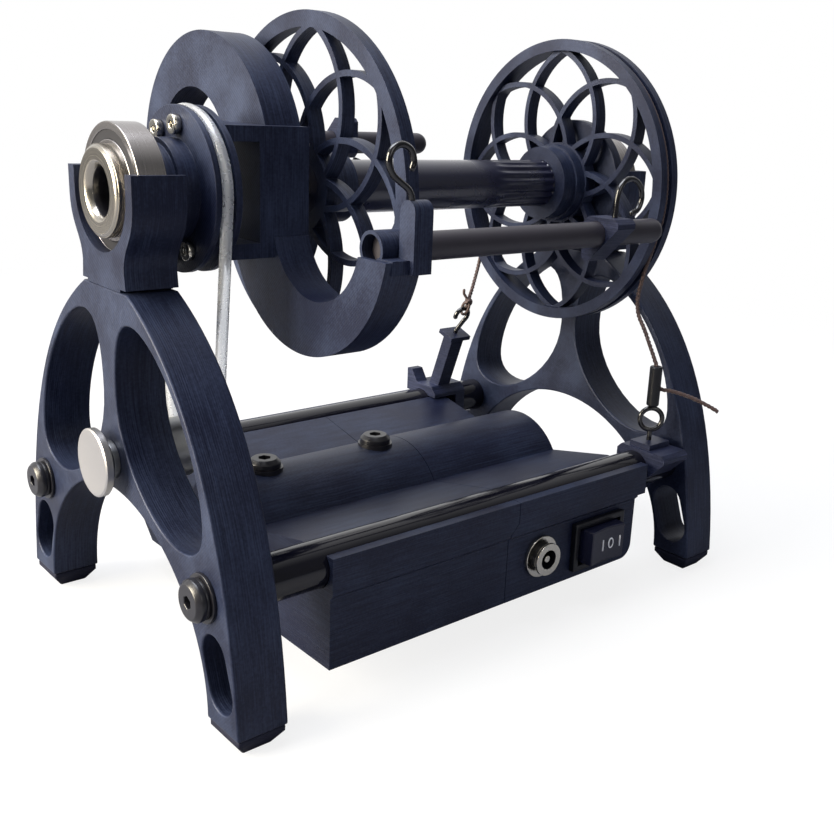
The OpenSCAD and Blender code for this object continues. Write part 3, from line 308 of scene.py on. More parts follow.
    def wear(self, tree: Tree, point: Socket, patch: Socket, grit: Socket) -> Socket:
        """Patches where the plastic is slightly paler, with thin pale scuffs and flecks.

        Args:
            tree: the material's node tree.
            point: the place on the piece.
            patch: the patches.
            grit: the flecks.
        Returns:
            0 for the base colour to 1 for the pale one.
        """
        stretch = node(tree, "ShaderNodeMapping", Vector=point)
        up, across = self.streak_scales
        stretch.inputs["Scale"].default_value = [up if i == self.stack.value else across for i in range(3)]
        streak = node(tree, "ShaderNodeTexNoise", {"Scale": 1.0, "Detail": 3.0}, Vector=stretch.outputs[0])
        both = node(tree, "ShaderNodeMath", TIMES, i0=patch, i1=streak.outputs["Fac"])
        fleck = node(tree, "ShaderNodeMath", TIMES_PLUS, i0=grit, i1=0.3, i2=both.outputs[0])
        worn = node(tree, "ShaderNodeMapRange", {"From Min": 0.31, "From Max": 0.57}, Value=fleck.outputs[0])
        return worn.outputs[0]


@dataclass(frozen=True)
class Coated:
    """A painted, anodised, moulded or rubber skin: one colour, fine grain and small stains.

    Args:
        name: the material's name.
        colour: colour of the skin.
        other: colour that the grain drifts to.
        rough: roughness.
        grain_mm: size of the grain.
        bump_mm: depth of the grain.
        metal: 1 for bare metal.
        coat: strength of a clear coat.
        gloss: specular level, 0.5 for a common plastic.
        stain_scale: stains, about 14 mm across, as waves to the metre.
    """

    name: str
    colour: str
    other: str
    rough: float
    grain_mm: float = 0.4
    bump_mm: float = 0.01
    metal: float = 0.0
    coat: float = 0.0
    gloss: float = 0.5
    stain_scale: float = 70.0

    def build(self) -> Material:
        """Makes the material: noise as a fine bump, and slower noise that drifts the colour and roughness.

        Returns:
            The material.
        """
        material, tree, shader, where = blank(self.name)
        point = where.outputs["Object"]
        fine = {"Scale": 1 / (self.grain_mm * MM), "Detail": 3.0}
        grain = node(tree, "ShaderNodeTexNoise", fine, Vector=point)
        stain = node(tree, "ShaderNodeTexNoise", {"Scale": self.stain_scale, "Detail": 4.0}, Vector=point)
        first, second = linear(self.colour), linear(self.other)
        colour = node(tree, "ShaderNodeMix", COLOURS, i0=stain.outputs["Fac"], i6=first, i7=second)
        reach = {"To Min": max(self.rough - 0.05, 0.03), "To Max": self.rough + 0.07}
        rough = node(tree, "ShaderNodeMapRange", reach, Value=stain.outputs["Fac"])
        depth = {"Strength": 0.5, "Distance": self.bump_mm * MM}
        bump = node(tree, "ShaderNodeBump", depth, Height=grain.outputs["Fac"])
        tree.links.new(colour.outputs[2], shader.inputs["Base Color"])
        tree.links.new(rough.outputs[0], shader.inputs["Roughness"])
        tree.links.new(bump.outputs[0], shader.inputs["Normal"])
        shader.inputs["Metallic"].default_value = self.metal
        shader.inputs["Coat Weight"].default_value = self.coat
        shader.inputs["Coat Roughness"].default_value = 0.08
        shader.inputs["Specular IOR Level"].default_value = self.gloss
        return material


@dataclass(frozen=True)
class TurnedMetal:
    """Metal that was turned or ground, with fine rings about an axis along X.

    Args:
        name: the material's name.
        colour: the metal's colour.
        rough: roughness.
        ring_mm: spacing of the tool marks. Real marks are 0.05 mm; 0.3 mm is what still shows.
        centre: the turning axis, as (y, z) in mm, with z above the A-frames' undersides.
    """

    name: str
    colour: str
    rough: float
    ring_mm: float = 0.3
    centre: tuple[float, float] = (0.0, AXIS_UP)

    def build(self) -> Material:
        """Makes the material: noise in one dimension, along the radius and a share of the length.

        Returns:
            The material.
        """
        material, tree, shader, where = blank(self.name)
        back = {"Location": (0.0, -self.centre[0] * MM, -(self.centre[1] + DATUM.under) * MM)}
        moved = node(tree, "ShaderNodeMapping", back, Vector=where.outputs["Object"])
        split = node(tree, "ShaderNodeSeparateXYZ", i0=moved.outputs[0])
        flat = node(tree, "ShaderNodeCombineXYZ", i1=split.outputs[1], i2=split.outputs[2])
        radius = node(tree, "ShaderNodeVectorMath", {"operation": "LENGTH"}, i0=flat.outputs[0])
        run, out = split.outputs[0], radius.outputs["Value"]
        path = node(tree, "ShaderNodeMath", TIMES_PLUS, i0=run, i1=0.7, i2=out)
        marks = {"noise_dimensions": "1D", "Scale": 1 / (self.ring_mm * MM), "Detail": 4.0}
        rings = node(tree, "ShaderNodeTexNoise", marks, W=path.outputs[0])
        depth = {"Strength": 0.35, "Distance": 0.00001}
        bump = node(tree, "ShaderNodeBump", depth, Height=rings.outputs["Fac"])
        reach = {"To Min": max(self.rough - 0.05, 0.03), "To Max": self.rough + 0.08}
        rough = node(tree, "ShaderNodeMapRange", reach, Value=rings.outputs["Fac"])
        tree.links.new(bump.outputs[0], shader.inputs["Normal"])
        tree.links.new(rough.outputs[0], shader.inputs["Roughness"])
        shader.inputs["Base Color"].default_value = linear(self.colour)
        shader.inputs["Metallic"].default_value = 1.0
        return material


@dataclass(frozen=True)
class ClearUrethane:
    """Extruded clear polyurethane cord: frosted within, with a clear gloss outside."""

    name: str = "clear_urethane"
    # haze about 1 mm across, as waves to the metre
    haze_scale: float = 900.0

    def build(self) -> Material:
        """Makes the material.

        Returns:
            The material.
        """
        material, tree, shader, where = blank(self.name)
        fine = {"Scale": self.haze_scale, "Detail": 2.0}
        haze = node(tree, "ShaderNodeTexNoise", fine, Vector=where.outputs["Object"])
        rough = node(tree, "ShaderNodeMapRange", {"To Min": 0.24, "To Max": 0.32}, Value=haze.outputs["Fac"])
        tree.links.new(rough.outputs[0], shader.inputs["Roughness"])
        shader.inputs["Base Color"].default_value = linear("#e4e7ec")
        shader.inputs["Transmission Weight"].default_value = 0.78
        shader.inputs["Coat Weight"].default_value = 0.7
        shader.inputs["IOR"].default_value = 1.5
        return material


@dataclass(frozen=True)
class WaxedTwine:
    """Waxed brown twine: dark between the strands, with pale stray fibres and a slight sheen."""

    name: str = "waxed_twine"
    # fibres about 0.4 mm apart, as waves to the metre; real ones are 0.02 mm and wouldn't show
    fibre_scale: float = 2500.0
    dark: str = "#1d1415"
    pale: str = "#5a4340"

    def build(self) -> Material:
        """Makes the material.

        Returns:
            The material.
        """
        material, tree, shader, where = blank(self.name)
        fine = {"Scale": self.fibre_scale, "Detail": 3.0}
        fibre = node(tree, "ShaderNodeTexNoise", fine, Vector=where.outputs["Object"])
        share, dark, pale = fibre.outputs["Fac"], linear(self.dark), linear(self.pale)
        colour = node(tree, "ShaderNodeMix", COLOURS, i0=share, i6=dark, i7=pale)
        bump = node(tree, "ShaderNodeBump", {"Strength": 0.6, "Distance": 0.00005}, Height=share)
        tree.links.new(colour.outputs[2], shader.inputs["Base Color"])
        tree.links.new(bump.outputs[0], shader.inputs["Normal"])
        shader.inputs["Roughness"].default_value = 0.6
        shader.inputs["Sheen Weight"].default_value = 0.2
        return material


class Paintbox:
    """Holds every finish of the spinner, each made once when it is first asked for."""

    def __init__(self) -> None:
        """Lists the finishes by name."""
        self.recipes = {
            # printed PLA: layers show as fine lines on the walls, and the flat skins are hatched
            "frame_print": PrintedPlastic("print_layers_along_x", Stack.ALONG_X),
            "flyer_print": PrintedPlastic("print_layers_along_x_flyer", Stack.ALONG_X, layer_mm=0.7),
            "box_print": PrintedPlastic("print_layers_along_z", Stack.ALONG_Z, "#0c1025", "#222a3f"),
            "clip_print": PrintedPlastic("print_layers_along_z_clip", Stack.ALONG_Z, pale="#2c3149"),
            # lacquered tubes: a hard gloss with long bright lines
            "gloss_tube": Coated(
                "gloss_black_tube", "#06060f", "#0d0d18", 0.14, 0.8, 0.004, coat=0.25, gloss=0.4
            ),
            "core_tube": Coated(
                "gloss_navy_tube", "#0c0d24", "#15172e", 0.27, 0.8, 0.003, coat=0.5, gloss=0.8
            ),
            # painted rods, rubbed down: a broad, soft sheen
            "satin_rod": Coated("satin_black_rod", "#27252c", "#312e36", 0.42, 0.25, 0.01, gloss=0.45),
            # ground and turned steel: fine rings and sharp reflections
            "ring_steel": TurnedMetal("ground_bearing_steel", "#a09c9b", 0.24),
            "warm_steel": TurnedMetal("turned_steel_warm", "#a8a39a", 0.24),
            # moulded rubber: dull, with a fine grain
            "seal": Coated("moulded_seal_rubber", "#111219", "#1b1c24", 0.6, 0.2, 0.02, gloss=0.3),
            "pad": Coated("rubber_pad", "#131527", "#1d2034", 0.7, 0.3, 0.03, gloss=0.25),
            # blacked, zinc-plated and nickel-plated metal: from oily black to a warm bright gloss
            # this blacked finish is also painted shade in the orifice's bore, where it stands in for the dark
            # inside
            "black_oxide_and_bore_shade": Coated("black_oxide_steel", "#0b0b12", "#17171e", 0.3, 0.2, 0.01, gloss=0.6),
            "zinc": Coated("zinc_plated_steel", "#8d8f92", "#a3a4a4", 0.35, 0.3, 0.008, metal=1.0),
            "nickel": Coated("nickel_plated_brass", "#c4bfb4", "#d2cec4", 0.18, 0.3, 0.004, metal=1.0),
            # turned aluminium: pale, with rings about the knob's own axis
            "knob_face": TurnedMetal("turned_aluminium", "#c9c7c6", 0.34, 0.25, (0.0, KNOB_UP)),
            # japanned wire: black with a wet shine
            "wire": Coated("black_japanned_wire", "#050509", "#0b0b11", 0.14, 0.3, 0.004, coat=0.5),
            # moulded ABS: even, slightly grained
            "moulded": Coated("moulded_abs_black", "#090a10", "#101118", 0.3, 0.12, 0.012, gloss=0.4),
            "rocker": Coated("moulded_abs_rocker", "#0f1124", "#181b30", 0.24, 0.12, 0.008, gloss=0.5),
            # pad-printed marks: flat white
            "mark": Coated("white_print", "#e9eaec", "#dddee2", 0.5, 0.2, 0.002),
            # solder mask: green lacquer
            "board": Coated("solder_mask", "#0f3a23", "#15472c", 0.3, 0.5, 0.01),
            "belt": ClearUrethane(),
            "twine": WaxedTwine(),
        }
        self.made: dict[str, Material] = {}

    def get(self, name: str) -> Material:
        """The finish of that name, made when it is first asked for.

        Args:
            name: the finish's name in the paintbox.
        Returns:
            The material.
        """
        if name not in self.made:
            self.made[name] = self.recipes[name].build()
        return self.made[name]


# ---------------------------------------------------------------- surfaces


def mesh_object(name: str, verts: np.ndarray, faces: np.ndarray | list, smooth: bool = True) -> Piece:
    """Puts points and faces into a new object at the origin.

    Args:
        name: the piece's name.
        verts: (n, 3) points in metres.
        faces: quads or polygons as vertex numbers.
        smooth: whether the faces are shaded smooth.
    Returns:
        The object, linked to the scene.
    """
    mesh = bpy.data.meshes.new(name)
    mesh.from_pydata([tuple(v) for v in verts.tolist()], [], [tuple(f) for f in faces])
    mesh.validate()
    mesh.shade_smooth() if smooth else mesh.shade_flat()
    made = bpy.data.objects.new(name, mesh)
    bpy.context.scene.collection.objects.link(made)
    return made


def grid_faces(rows: int, cols: int, wrap_rows: bool = False) -> np.ndarray:
    """Quads over a grid of points whose rows are closed rings.

    Args:
        rows: number of rows.
        cols: number of points in a row.
        wrap_rows: whether the last row joins the first.
    Returns:
        (n, 4) vertex numbers.
    """
    i = np.arange(rows if wrap_rows else rows - 1)
    j = np.arange(cols)
    a, b = np.meshgrid(i, j, indexing="ij")
    c, d = (a + 1) % rows, (b + 1) % cols
    return np.stack([a * cols + b, a * cols + d, c * cols + d, c * cols + b], -1).reshape(-1, 4)


def smooth_path(points: np.ndarray, step: float) -> np.ndarray:
    """A Catmull-Rom curve through points: each span blends its four nearest points by cubics.

    Args:
        points: (n, 3) points that the curve goes through.
        step: about how far apart the curve's points lie.
    Returns:
        (m, 3) points along the curve.
    """
    p = np.vstack([2 * points[0] - points[1], points, 2 * points[-1] - points[-2]])
    out = []
    for i in range(1, len(p) - 2):
        n = max(2, int(np.linalg.norm(p[i + 1] - p[i]) / step))
        t = np.linspace(0, 1, n, endpoint=False)[:, None]
        out.append(
            0.5
            * (
                2 * p[i]
                + (p[i + 1] - p[i - 1]) * t
                + (2 * p[i - 1] - 5 * p[i] + 4 * p[i + 1] - p[i + 2]) * t**2
                + (3 * p[i] - p[i - 1] - 3 * p[i + 1] + p[i + 2]) * t**3
            )
        )
    out.append(points[-1:])
    return np.vstack(out)


def path_frames(path: np.ndarray, closed: bool = False) -> tuple[np.ndarray, np.ndarray]:
    """Two unit vectors square to the path at each of its points, carried along without twist.

    Args:
        path: (n, 3) points.
        closed: whether the path is a loop.
    Returns:
        The two vectors at each point, as (n, 3) arrays.
    """
    if closed:
        tangent = np.roll(path, -1, 0) - np.roll(path, 1, 0)
    else:
        tangent = np.gradient(path, axis=0)
    tangent /= np.linalg.norm(tangent, axis=1)[:, None]
    start = np.array([0.0, 0.0, 1.0]) if abs(tangent[0][2]) < 0.9 else np.array([0.0, 1.0, 0.0])
    u = np.zeros_like(path)
    u[0] = np.cross(tangent[0], start)
    u[0] /= np.linalg.norm(u[0])
    for i in range(1, len(path)):
        carried = u[i - 1] - tangent[i] * np.dot(u[i - 1], tangent[i])
        u[i] = carried / np.linalg.norm(carried)
    return u, np.cross(tangent, u)


def tube(
    name: str, path: np.ndarray, radius: np.ndarray | float, sides: int = 16, closed: bool = False
) -> Piece:
    """A round tube along a path: path + r (cos a u + sin a v), with domed ends where it is open.

    Args:
        name: the piece's name.
        path: (n, 3) points of the centreline.
        radius: one radius, or one for each point.
        sides: number of sides.
        closed: whether the path is a loop.
    Returns:
        The tube.
    """
    r = np.full(len(path), radius) if np.isscalar(radius) else np.asarray(radius)
    if not closed:
        # each end gets a dome: three more rings whose radius and reach follow a quarter circle
        a = np.radians([85.0, 60.0, 30.0])
        first = (path[0] - path[1]) / np.linalg.norm(path[0] - path[1])
        last = (path[-1] - path[-2]) / np.linalg.norm(path[-1] - path[-2])
        head = path[0] + np.outer(np.sin(a) * r[0], first)
        tail = path[-1] + np.outer(np.sin(a[::-1]) * r[-1], last)
        path = np.vstack([head, path, tail])
        r = np.concatenate([np.cos(a) * r[0], r, np.cos(a[::-1]) * r[-1]])
    u, v = path_frames(path, closed)
    angle = np.linspace(0, 2 * np.pi, sides, endpoint=False)
    ring = np.cos(angle)[None, :, None] * u[:, None] + np.sin(angle)[None, :, None] * v[:, None]
    verts = (path[:, None] + r[:, None, None] * ring).reshape(-1, 3)
    faces = grid_faces(len(path), sides, wrap_rows=closed).tolist()
    if not closed:
        n = len(path)
        faces.append(list(range(sides))[::-1])
        faces.append(list(range((n - 1) * sides, n * sides)))
    made = mesh_object(name, verts, faces)
    outward(made)
    return made


def outward(piece: Piece) -> None:
    """Turns every face of a closed piece to point out.

    Args:
        piece: the piece, whose mesh is changed.
    """
    work = bmesh.new()
    work.from_mesh(piece.data)
    bmesh.ops.recalc_face_normals(work, faces=work.faces)
    work.to_mesh(piece.data)
    work.free()


def turned(name: str, profile: list[tuple[float, float]], centre: np.ndarray, sides: int) -> Piece:
    """A lathe shape: each (distance along, radius) point of a closed profile goes round an axis along X.

    Args:
        name: the piece's name.
        profile: closed outline, in mm, as (distance along the axis, radius).
        centre: a point on the axis, in metres.
        sides: number of steps round.
    Returns:
        The piece.
    """
    p = np.array(profile, float) * MM
    a = np.linspace(0, 2 * np.pi, sides, endpoint=False)
    reach = p[:, 1][:, None]
    run = np.repeat(p[:, 0][:, None], sides, 1)
    verts = np.stack([run, reach * np.cos(a)[None], reach * np.sin(a)[None]], -1).reshape(-1, 3) + centre
    made = mesh_object(name, verts, grid_faces(len(p), sides, wrap_rows=True))
    work = bmesh.new()
    work.from_mesh(made.data)
    bmesh.ops.remove_doubles(work, verts=work.verts, dist=1e-6)
    bmesh.ops.recalc_face_normals(work, faces=work.faces)
    work.to_mesh(made.data)
    work.free()
    made.data.shade_smooth()
    made.data.set_sharp_from_angle(angle=math.radians(SHARP_DEG))
    return made


def eased(source: Piece, name: str, width_mm: float, steps: int = 2) -> Piece:
    """A copy of a CAD piece whose edges are rounded over, as a printed or moulded edge is.

    Args:
        source: the CAD node.
        name: the new piece's name.
        width_mm: how wide the rounding is.
        steps: rows of faces across the rounding.
    Returns:
        The new piece, with its modifiers applied.
    """
    mesh = source.data.copy()
    mesh.materials.clear()
    work = bmesh.new()
    work.from_mesh(mesh)
    bmesh.ops.remove_doubles(work, verts=work.verts, dist=MERGE_MM * MM)
    bmesh.ops.dissolve_limit(work, angle_limit=math.radians(FLAT_DEG), verts=work.verts, edges=work.edges)
    bmesh.ops.recalc_face_normals(work, faces=work.faces)
    work.to_mesh(mesh)
    work.free()
    piece = bpy.data.objects.new(name, mesh)
    bpy.context.scene.collection.objects.link(piece)
    mesh.shade_smooth()
    bevel = piece.modifiers.new("ease", "BEVEL")
    bevel.width = width_mm * MM
    bevel.segments = steps
    bevel.limit_method = "ANGLE"
    bevel.angle_limit = math.radians(EDGE_DEG)
    bevel.use_clamp_overlap = True
    weigh = piece.modifiers.new("weigh", "WEIGHTED_NORMAL")
    weigh.keep_sharp = True
    bpy.context.view_layer.update()
    shaped = bpy.data.meshes.new_from_object(piece.evaluated_get(bpy.context.evaluated_depsgraph_get()))
    piece.modifiers.clear()
    piece.data = shaped
    return piece


@dataclass
class Workshop:
    """What every sub-assembly needs to make its pieces."""

    frame: dict
    paint: Paintbox
    count: int = 0

    def body_of(self, name: str) -> str:
        """The CAD body that a node belongs to."""
        return self.frame["nodes"][name]["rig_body"]

    def dress(self, name: str, finish: str) -> None:
        """Gives a CAD node its finish and keeps its shape.

        Args:
            name: the CAD node.
            finish: the finish's name in the paintbox.
        """
        piece = self.frame["nodes"][name]
        piece.data.materials.clear()
        piece.data.materials.append(self.paint.get(finish))
        self.count += 1
        LOG.info("%s: kept, %s", name, finish)

    def ease(self, name: str, finish: str, width_mm: float, steps: int = 2) -> Piece:
        """Stands a rounded-over copy in for a CAD node.

        Args:
            name: the CAD node.
            finish: the finish's name in the paintbox.
            width_mm: how wide the rounding is.
            steps: rows of faces across the rounding.
        Returns:
            The new piece.
        """
        piece = eased(self.frame["nodes"][name], f"{name}_shell", width_mm, steps)
        return self.stand_in(piece, finish, name)

    def stand_in(self, piece: Piece, finish: str, *nodes: str) -> Piece:
        """Finishes a new piece that stands for CAD nodes, and rides where the first of them does.

        Args:
            piece: the new piece.
            finish: the finish's name in the paintbox.
            nodes: the CAD nodes that it stands for.
        Returns:
            The piece.
        """
        self.finish_piece(piece, finish, self.body_of(nodes[0]))
        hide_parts(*nodes)
        return piece

    def finish_piece(self, piece: Piece, finish: str, body: str) -> Piece:
        """Gives a new piece its finish and body.

        Args:
            piece: the new piece.
            finish: the finish's name in the paintbox.
            body: the CAD body that it rides on.
        Returns:
            The piece.
        """
        piece.data.materials.clear()
        piece.data.materials.append(self.paint.get(finish))
        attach(piece, body)
        self.count += 1
        LOG.info("%s: %d faces, %s, rides on %s", piece.name, len(piece.data.polygons), finish, body)
        return piece


# ---------------------------------------------------------------- stage


@dataclass
class Stage:
    """Camera, floor, world and lamps."""

    # the camera: its place in mm from the datum, its angles in degrees and its lens in pixels
    eye: tuple[float, float, float] = (-101.57, -240.90, 142.06)
    azimuth: float = -42.90
    elevation: float = 16.84
    roll: float = 3.07
    focal_px: float = 1035.5
    middle_px: tuple[float, float] = (470.1, 412.9)
    picture_px: float = 834.0
    sensor_mm: float = 36.0
    # the direction of the white backdrop that gloss sees, the cosines over which it comes in, and how
    # bright the room is away from it
    backdrop: tuple[float, float, float] = (-0.1, 0.93, 0.35)
    backdrop_from: float = -0.3
    backdrop_to: float = 0.55
    room: float = 0.14
    sky: str = "#eaeef8"
    sky_light: float = 0.3
    # the floor's half side, and the ring over which its shadow fades to white, in metres, with the share
    # of white at the ring's inner edge
    floor_half: float = 6.0
    shadow_from: float = 0.16
    shadow_to: float = 0.6
    shadow_white: float = 0.82
    # the floor's colour to the camera and to bounced light
    paper: str = "#f2f3f5"
    bounce: str = "#8c8e95"
    # lamps: name, place in metres, size, watts and tint
    lamps: tuple[tuple[str, tuple[float, float, float], float, float, str], ...] = (
        ("overhead", (-0.2, 0.2, 0.95), 0.7, 11.5, "#f0f4ff"),
        ("left", (-0.95, 0.25, 0.4), 0.6, 33.0, "#fff3da"),
        ("front", (-0.1, -1.0, 0.6), 0.6, 1.6, "#fbf9f6"),
    )
    # the point that every lamp looks at, in metres
    aim: tuple[float, float, float] = (0.0, 0.0, 0.08)

    def camera(self) -> None:
        """Places the camera at the photograph's angle: back, right and up are built from the angles."""
        az, el, ro = (math.radians(v) for v in (self.azimuth, self.elevation, self.roll))
        back = Vector((math.sin(az) * math.cos(el), -math.cos(az) * math.cos(el), math.sin(el)))
        level = Vector((math.cos(az), math.sin(az), 0.0))
        lift = back.cross(level)
        right = math.cos(ro) * level + math.sin(ro) * lift
        up = back.cross(right)
        data = bpy.data.cameras.new("camera")
        data.sensor_width = self.sensor_mm
        data.lens = self.focal_px * self.sensor_mm / self.picture_px
        data.shift_x = (self.picture_px / 2 - self.middle_px[0]) / self.picture_px
        data.shift_y = (self.middle_px[1] - self.picture_px / 2) / self.picture_px
        data.clip_start = 0.01
        data.clip_end = 20.0
        made = bpy.data.objects.new("camera", data)
        turn = Matrix((right, up, back)).transposed().to_4x4()
        made.matrix_world = Matrix.Translation(Vector(place(*self.eye))) @ turn
        bpy.context.scene.collection.objects.link(made)
        bpy.context.scene.camera = made

    def seen_plainly(self, tree: Tree) -> Socket:
        """1 for rays from the camera and through clear things, else 0.

        Args:
            tree: a node tree.
        Returns:
            The 0 or 1.
        """
        path = node(tree, "ShaderNodeLightPath")
        seen = node(
            tree,
            "ShaderNodeMath",
            {"operation": "MAXIMUM"},
            i0=path.outputs["Is Camera Ray"],
            i1=path.outputs["Is Transmission Ray"],
        )
        return seen.outputs[0]

    def world(self) -> None:
        """A pale world that lights softly and is white to the camera.

        Gloss sees a white backdrop behind the object, and a dimmer room in front of it.
        """
        world = bpy.data.worlds.new("studio")
        bpy.context.scene.world = world
        world.use_nodes = True
        tree = world.node_tree
        tree.nodes.clear()
        out = tree.nodes.new("ShaderNodeOutputWorld")
        where = tree.nodes.new("ShaderNodeTexCoord")
        path = tree.nodes.new("ShaderNodeLightPath")
        light = node(tree, "ShaderNodeBackground", {"Color": linear(self.sky), "Strength": self.sky_light})
        toward = where.outputs["Generated"]
        facing = node(tree, "ShaderNodeVectorMath", {"operation": "DOT_PRODUCT"}, i0=toward, i1=self.backdrop)
        reach = {"From Min": self.backdrop_from, "From Max": self.backdrop_to, "To Min": self.room}
        sweep = node(tree, "ShaderNodeMapRange", reach, Value=facing.outputs["Value"])
        mirrored = node(tree, "ShaderNodeBackground", {"Color": WHITE}, Strength=sweep.outputs[0])
        shown = node(tree, "ShaderNodeBackground", {"Color": WHITE, "Strength": 1.0})
        glossy, plain_view = path.outputs["Is Glossy Ray"], self.seen_plainly(tree)
        gloss = node(tree, "ShaderNodeMixShader", i0=glossy, i1=light.outputs[0], i2=mirrored.outputs[0])
        mix = node(tree, "ShaderNodeMixShader", i0=plain_view, i1=gloss.outputs[0], i2=shown.outputs[0])
        tree.links.new(mix.outputs[0], out.inputs["Surface"])

    def floor(self) -> None:
        """A wide floor, greyer to bounced light, with a soft shadow that fades to plain white outwards."""
        half = self.floor_half
        verts = np.array([[-half, -half, 0], [half, -half, 0], [half, half, 0], [-half, half, 0]], float)
        made = mesh_object("studio_floor", verts, [[0, 1, 2, 3]], smooth=False)
        material = bpy.data.materials.new("matte_white_paper")
        material.use_nodes = True
        tree = material.node_tree
        tree.nodes.clear()
        out = tree.nodes.new("ShaderNodeOutputMaterial")
        where = tree.nodes.new("ShaderNodeTexCoord")
        far = node(tree, "ShaderNodeVectorMath", {"operation": "LENGTH"}, i0=where.outputs["Object"])
        ring = {"From Min": self.shadow_from, "From Max": self.shadow_to, "To Min": self.shadow_white}
        fade = node(tree, "ShaderNodeMapRange", ring, Value=far.outputs["Value"])
        paper = node(tree, "ShaderNodeBsdfDiffuse", {"Color": linear(self.paper)})
        bounce = node(tree, "ShaderNodeBsdfDiffuse", {"Color": linear(self.bounce)})
        glow = node(tree, "ShaderNodeEmission", {"Color": WHITE, "Strength": 1.0})
        lit = node(tree, "ShaderNodeMixShader", i0=fade.outputs[0], i1=paper.outputs[0], i2=glow.outputs[0])
        plain_view = self.seen_plainly(tree)
        pick = node(tree, "ShaderNodeMixShader", i0=plain_view, i1=bounce.outputs[0], i2=lit.outputs[0])
        tree.links.new(pick.outputs[0], out.inputs["Surface"])
        made.data.materials.append(material)

    def lamp(self, name: str, spot: tuple[float, float, float], size: float, watts: float, tint: str) -> None:
        """A square area lamp that looks at the middle of the stand.

        Args:
            name: the lamp's name.
            spot: its place in metres.
            size: its side in metres.
            watts: its power.
            tint: its colour as "#rrggbb".
        """
        data = bpy.data.lights.new(name, "AREA")
        data.shape = "RECTANGLE"
        data.size = size
        data.size_y = size
        data.energy = watts
        data.color = linear(tint)[:3]
        made = bpy.data.objects.new(name, data)
        turn = (Vector(self.aim) - Vector(spot)).to_track_quat("-Z", "Y").to_matrix().to_4x4()
        made.matrix_world = Matrix.Translation(Vector(spot)) @ turn
        bpy.context.scene.collection.objects.link(made)

    def build(self) -> None:
        """Makes the whole stage."""
        self.camera()
        self.world()
        self.floor()
        for lamp in self.lamps:
            self.lamp(*lamp)


# ---------------------------------------------------------------- sub-assemblies


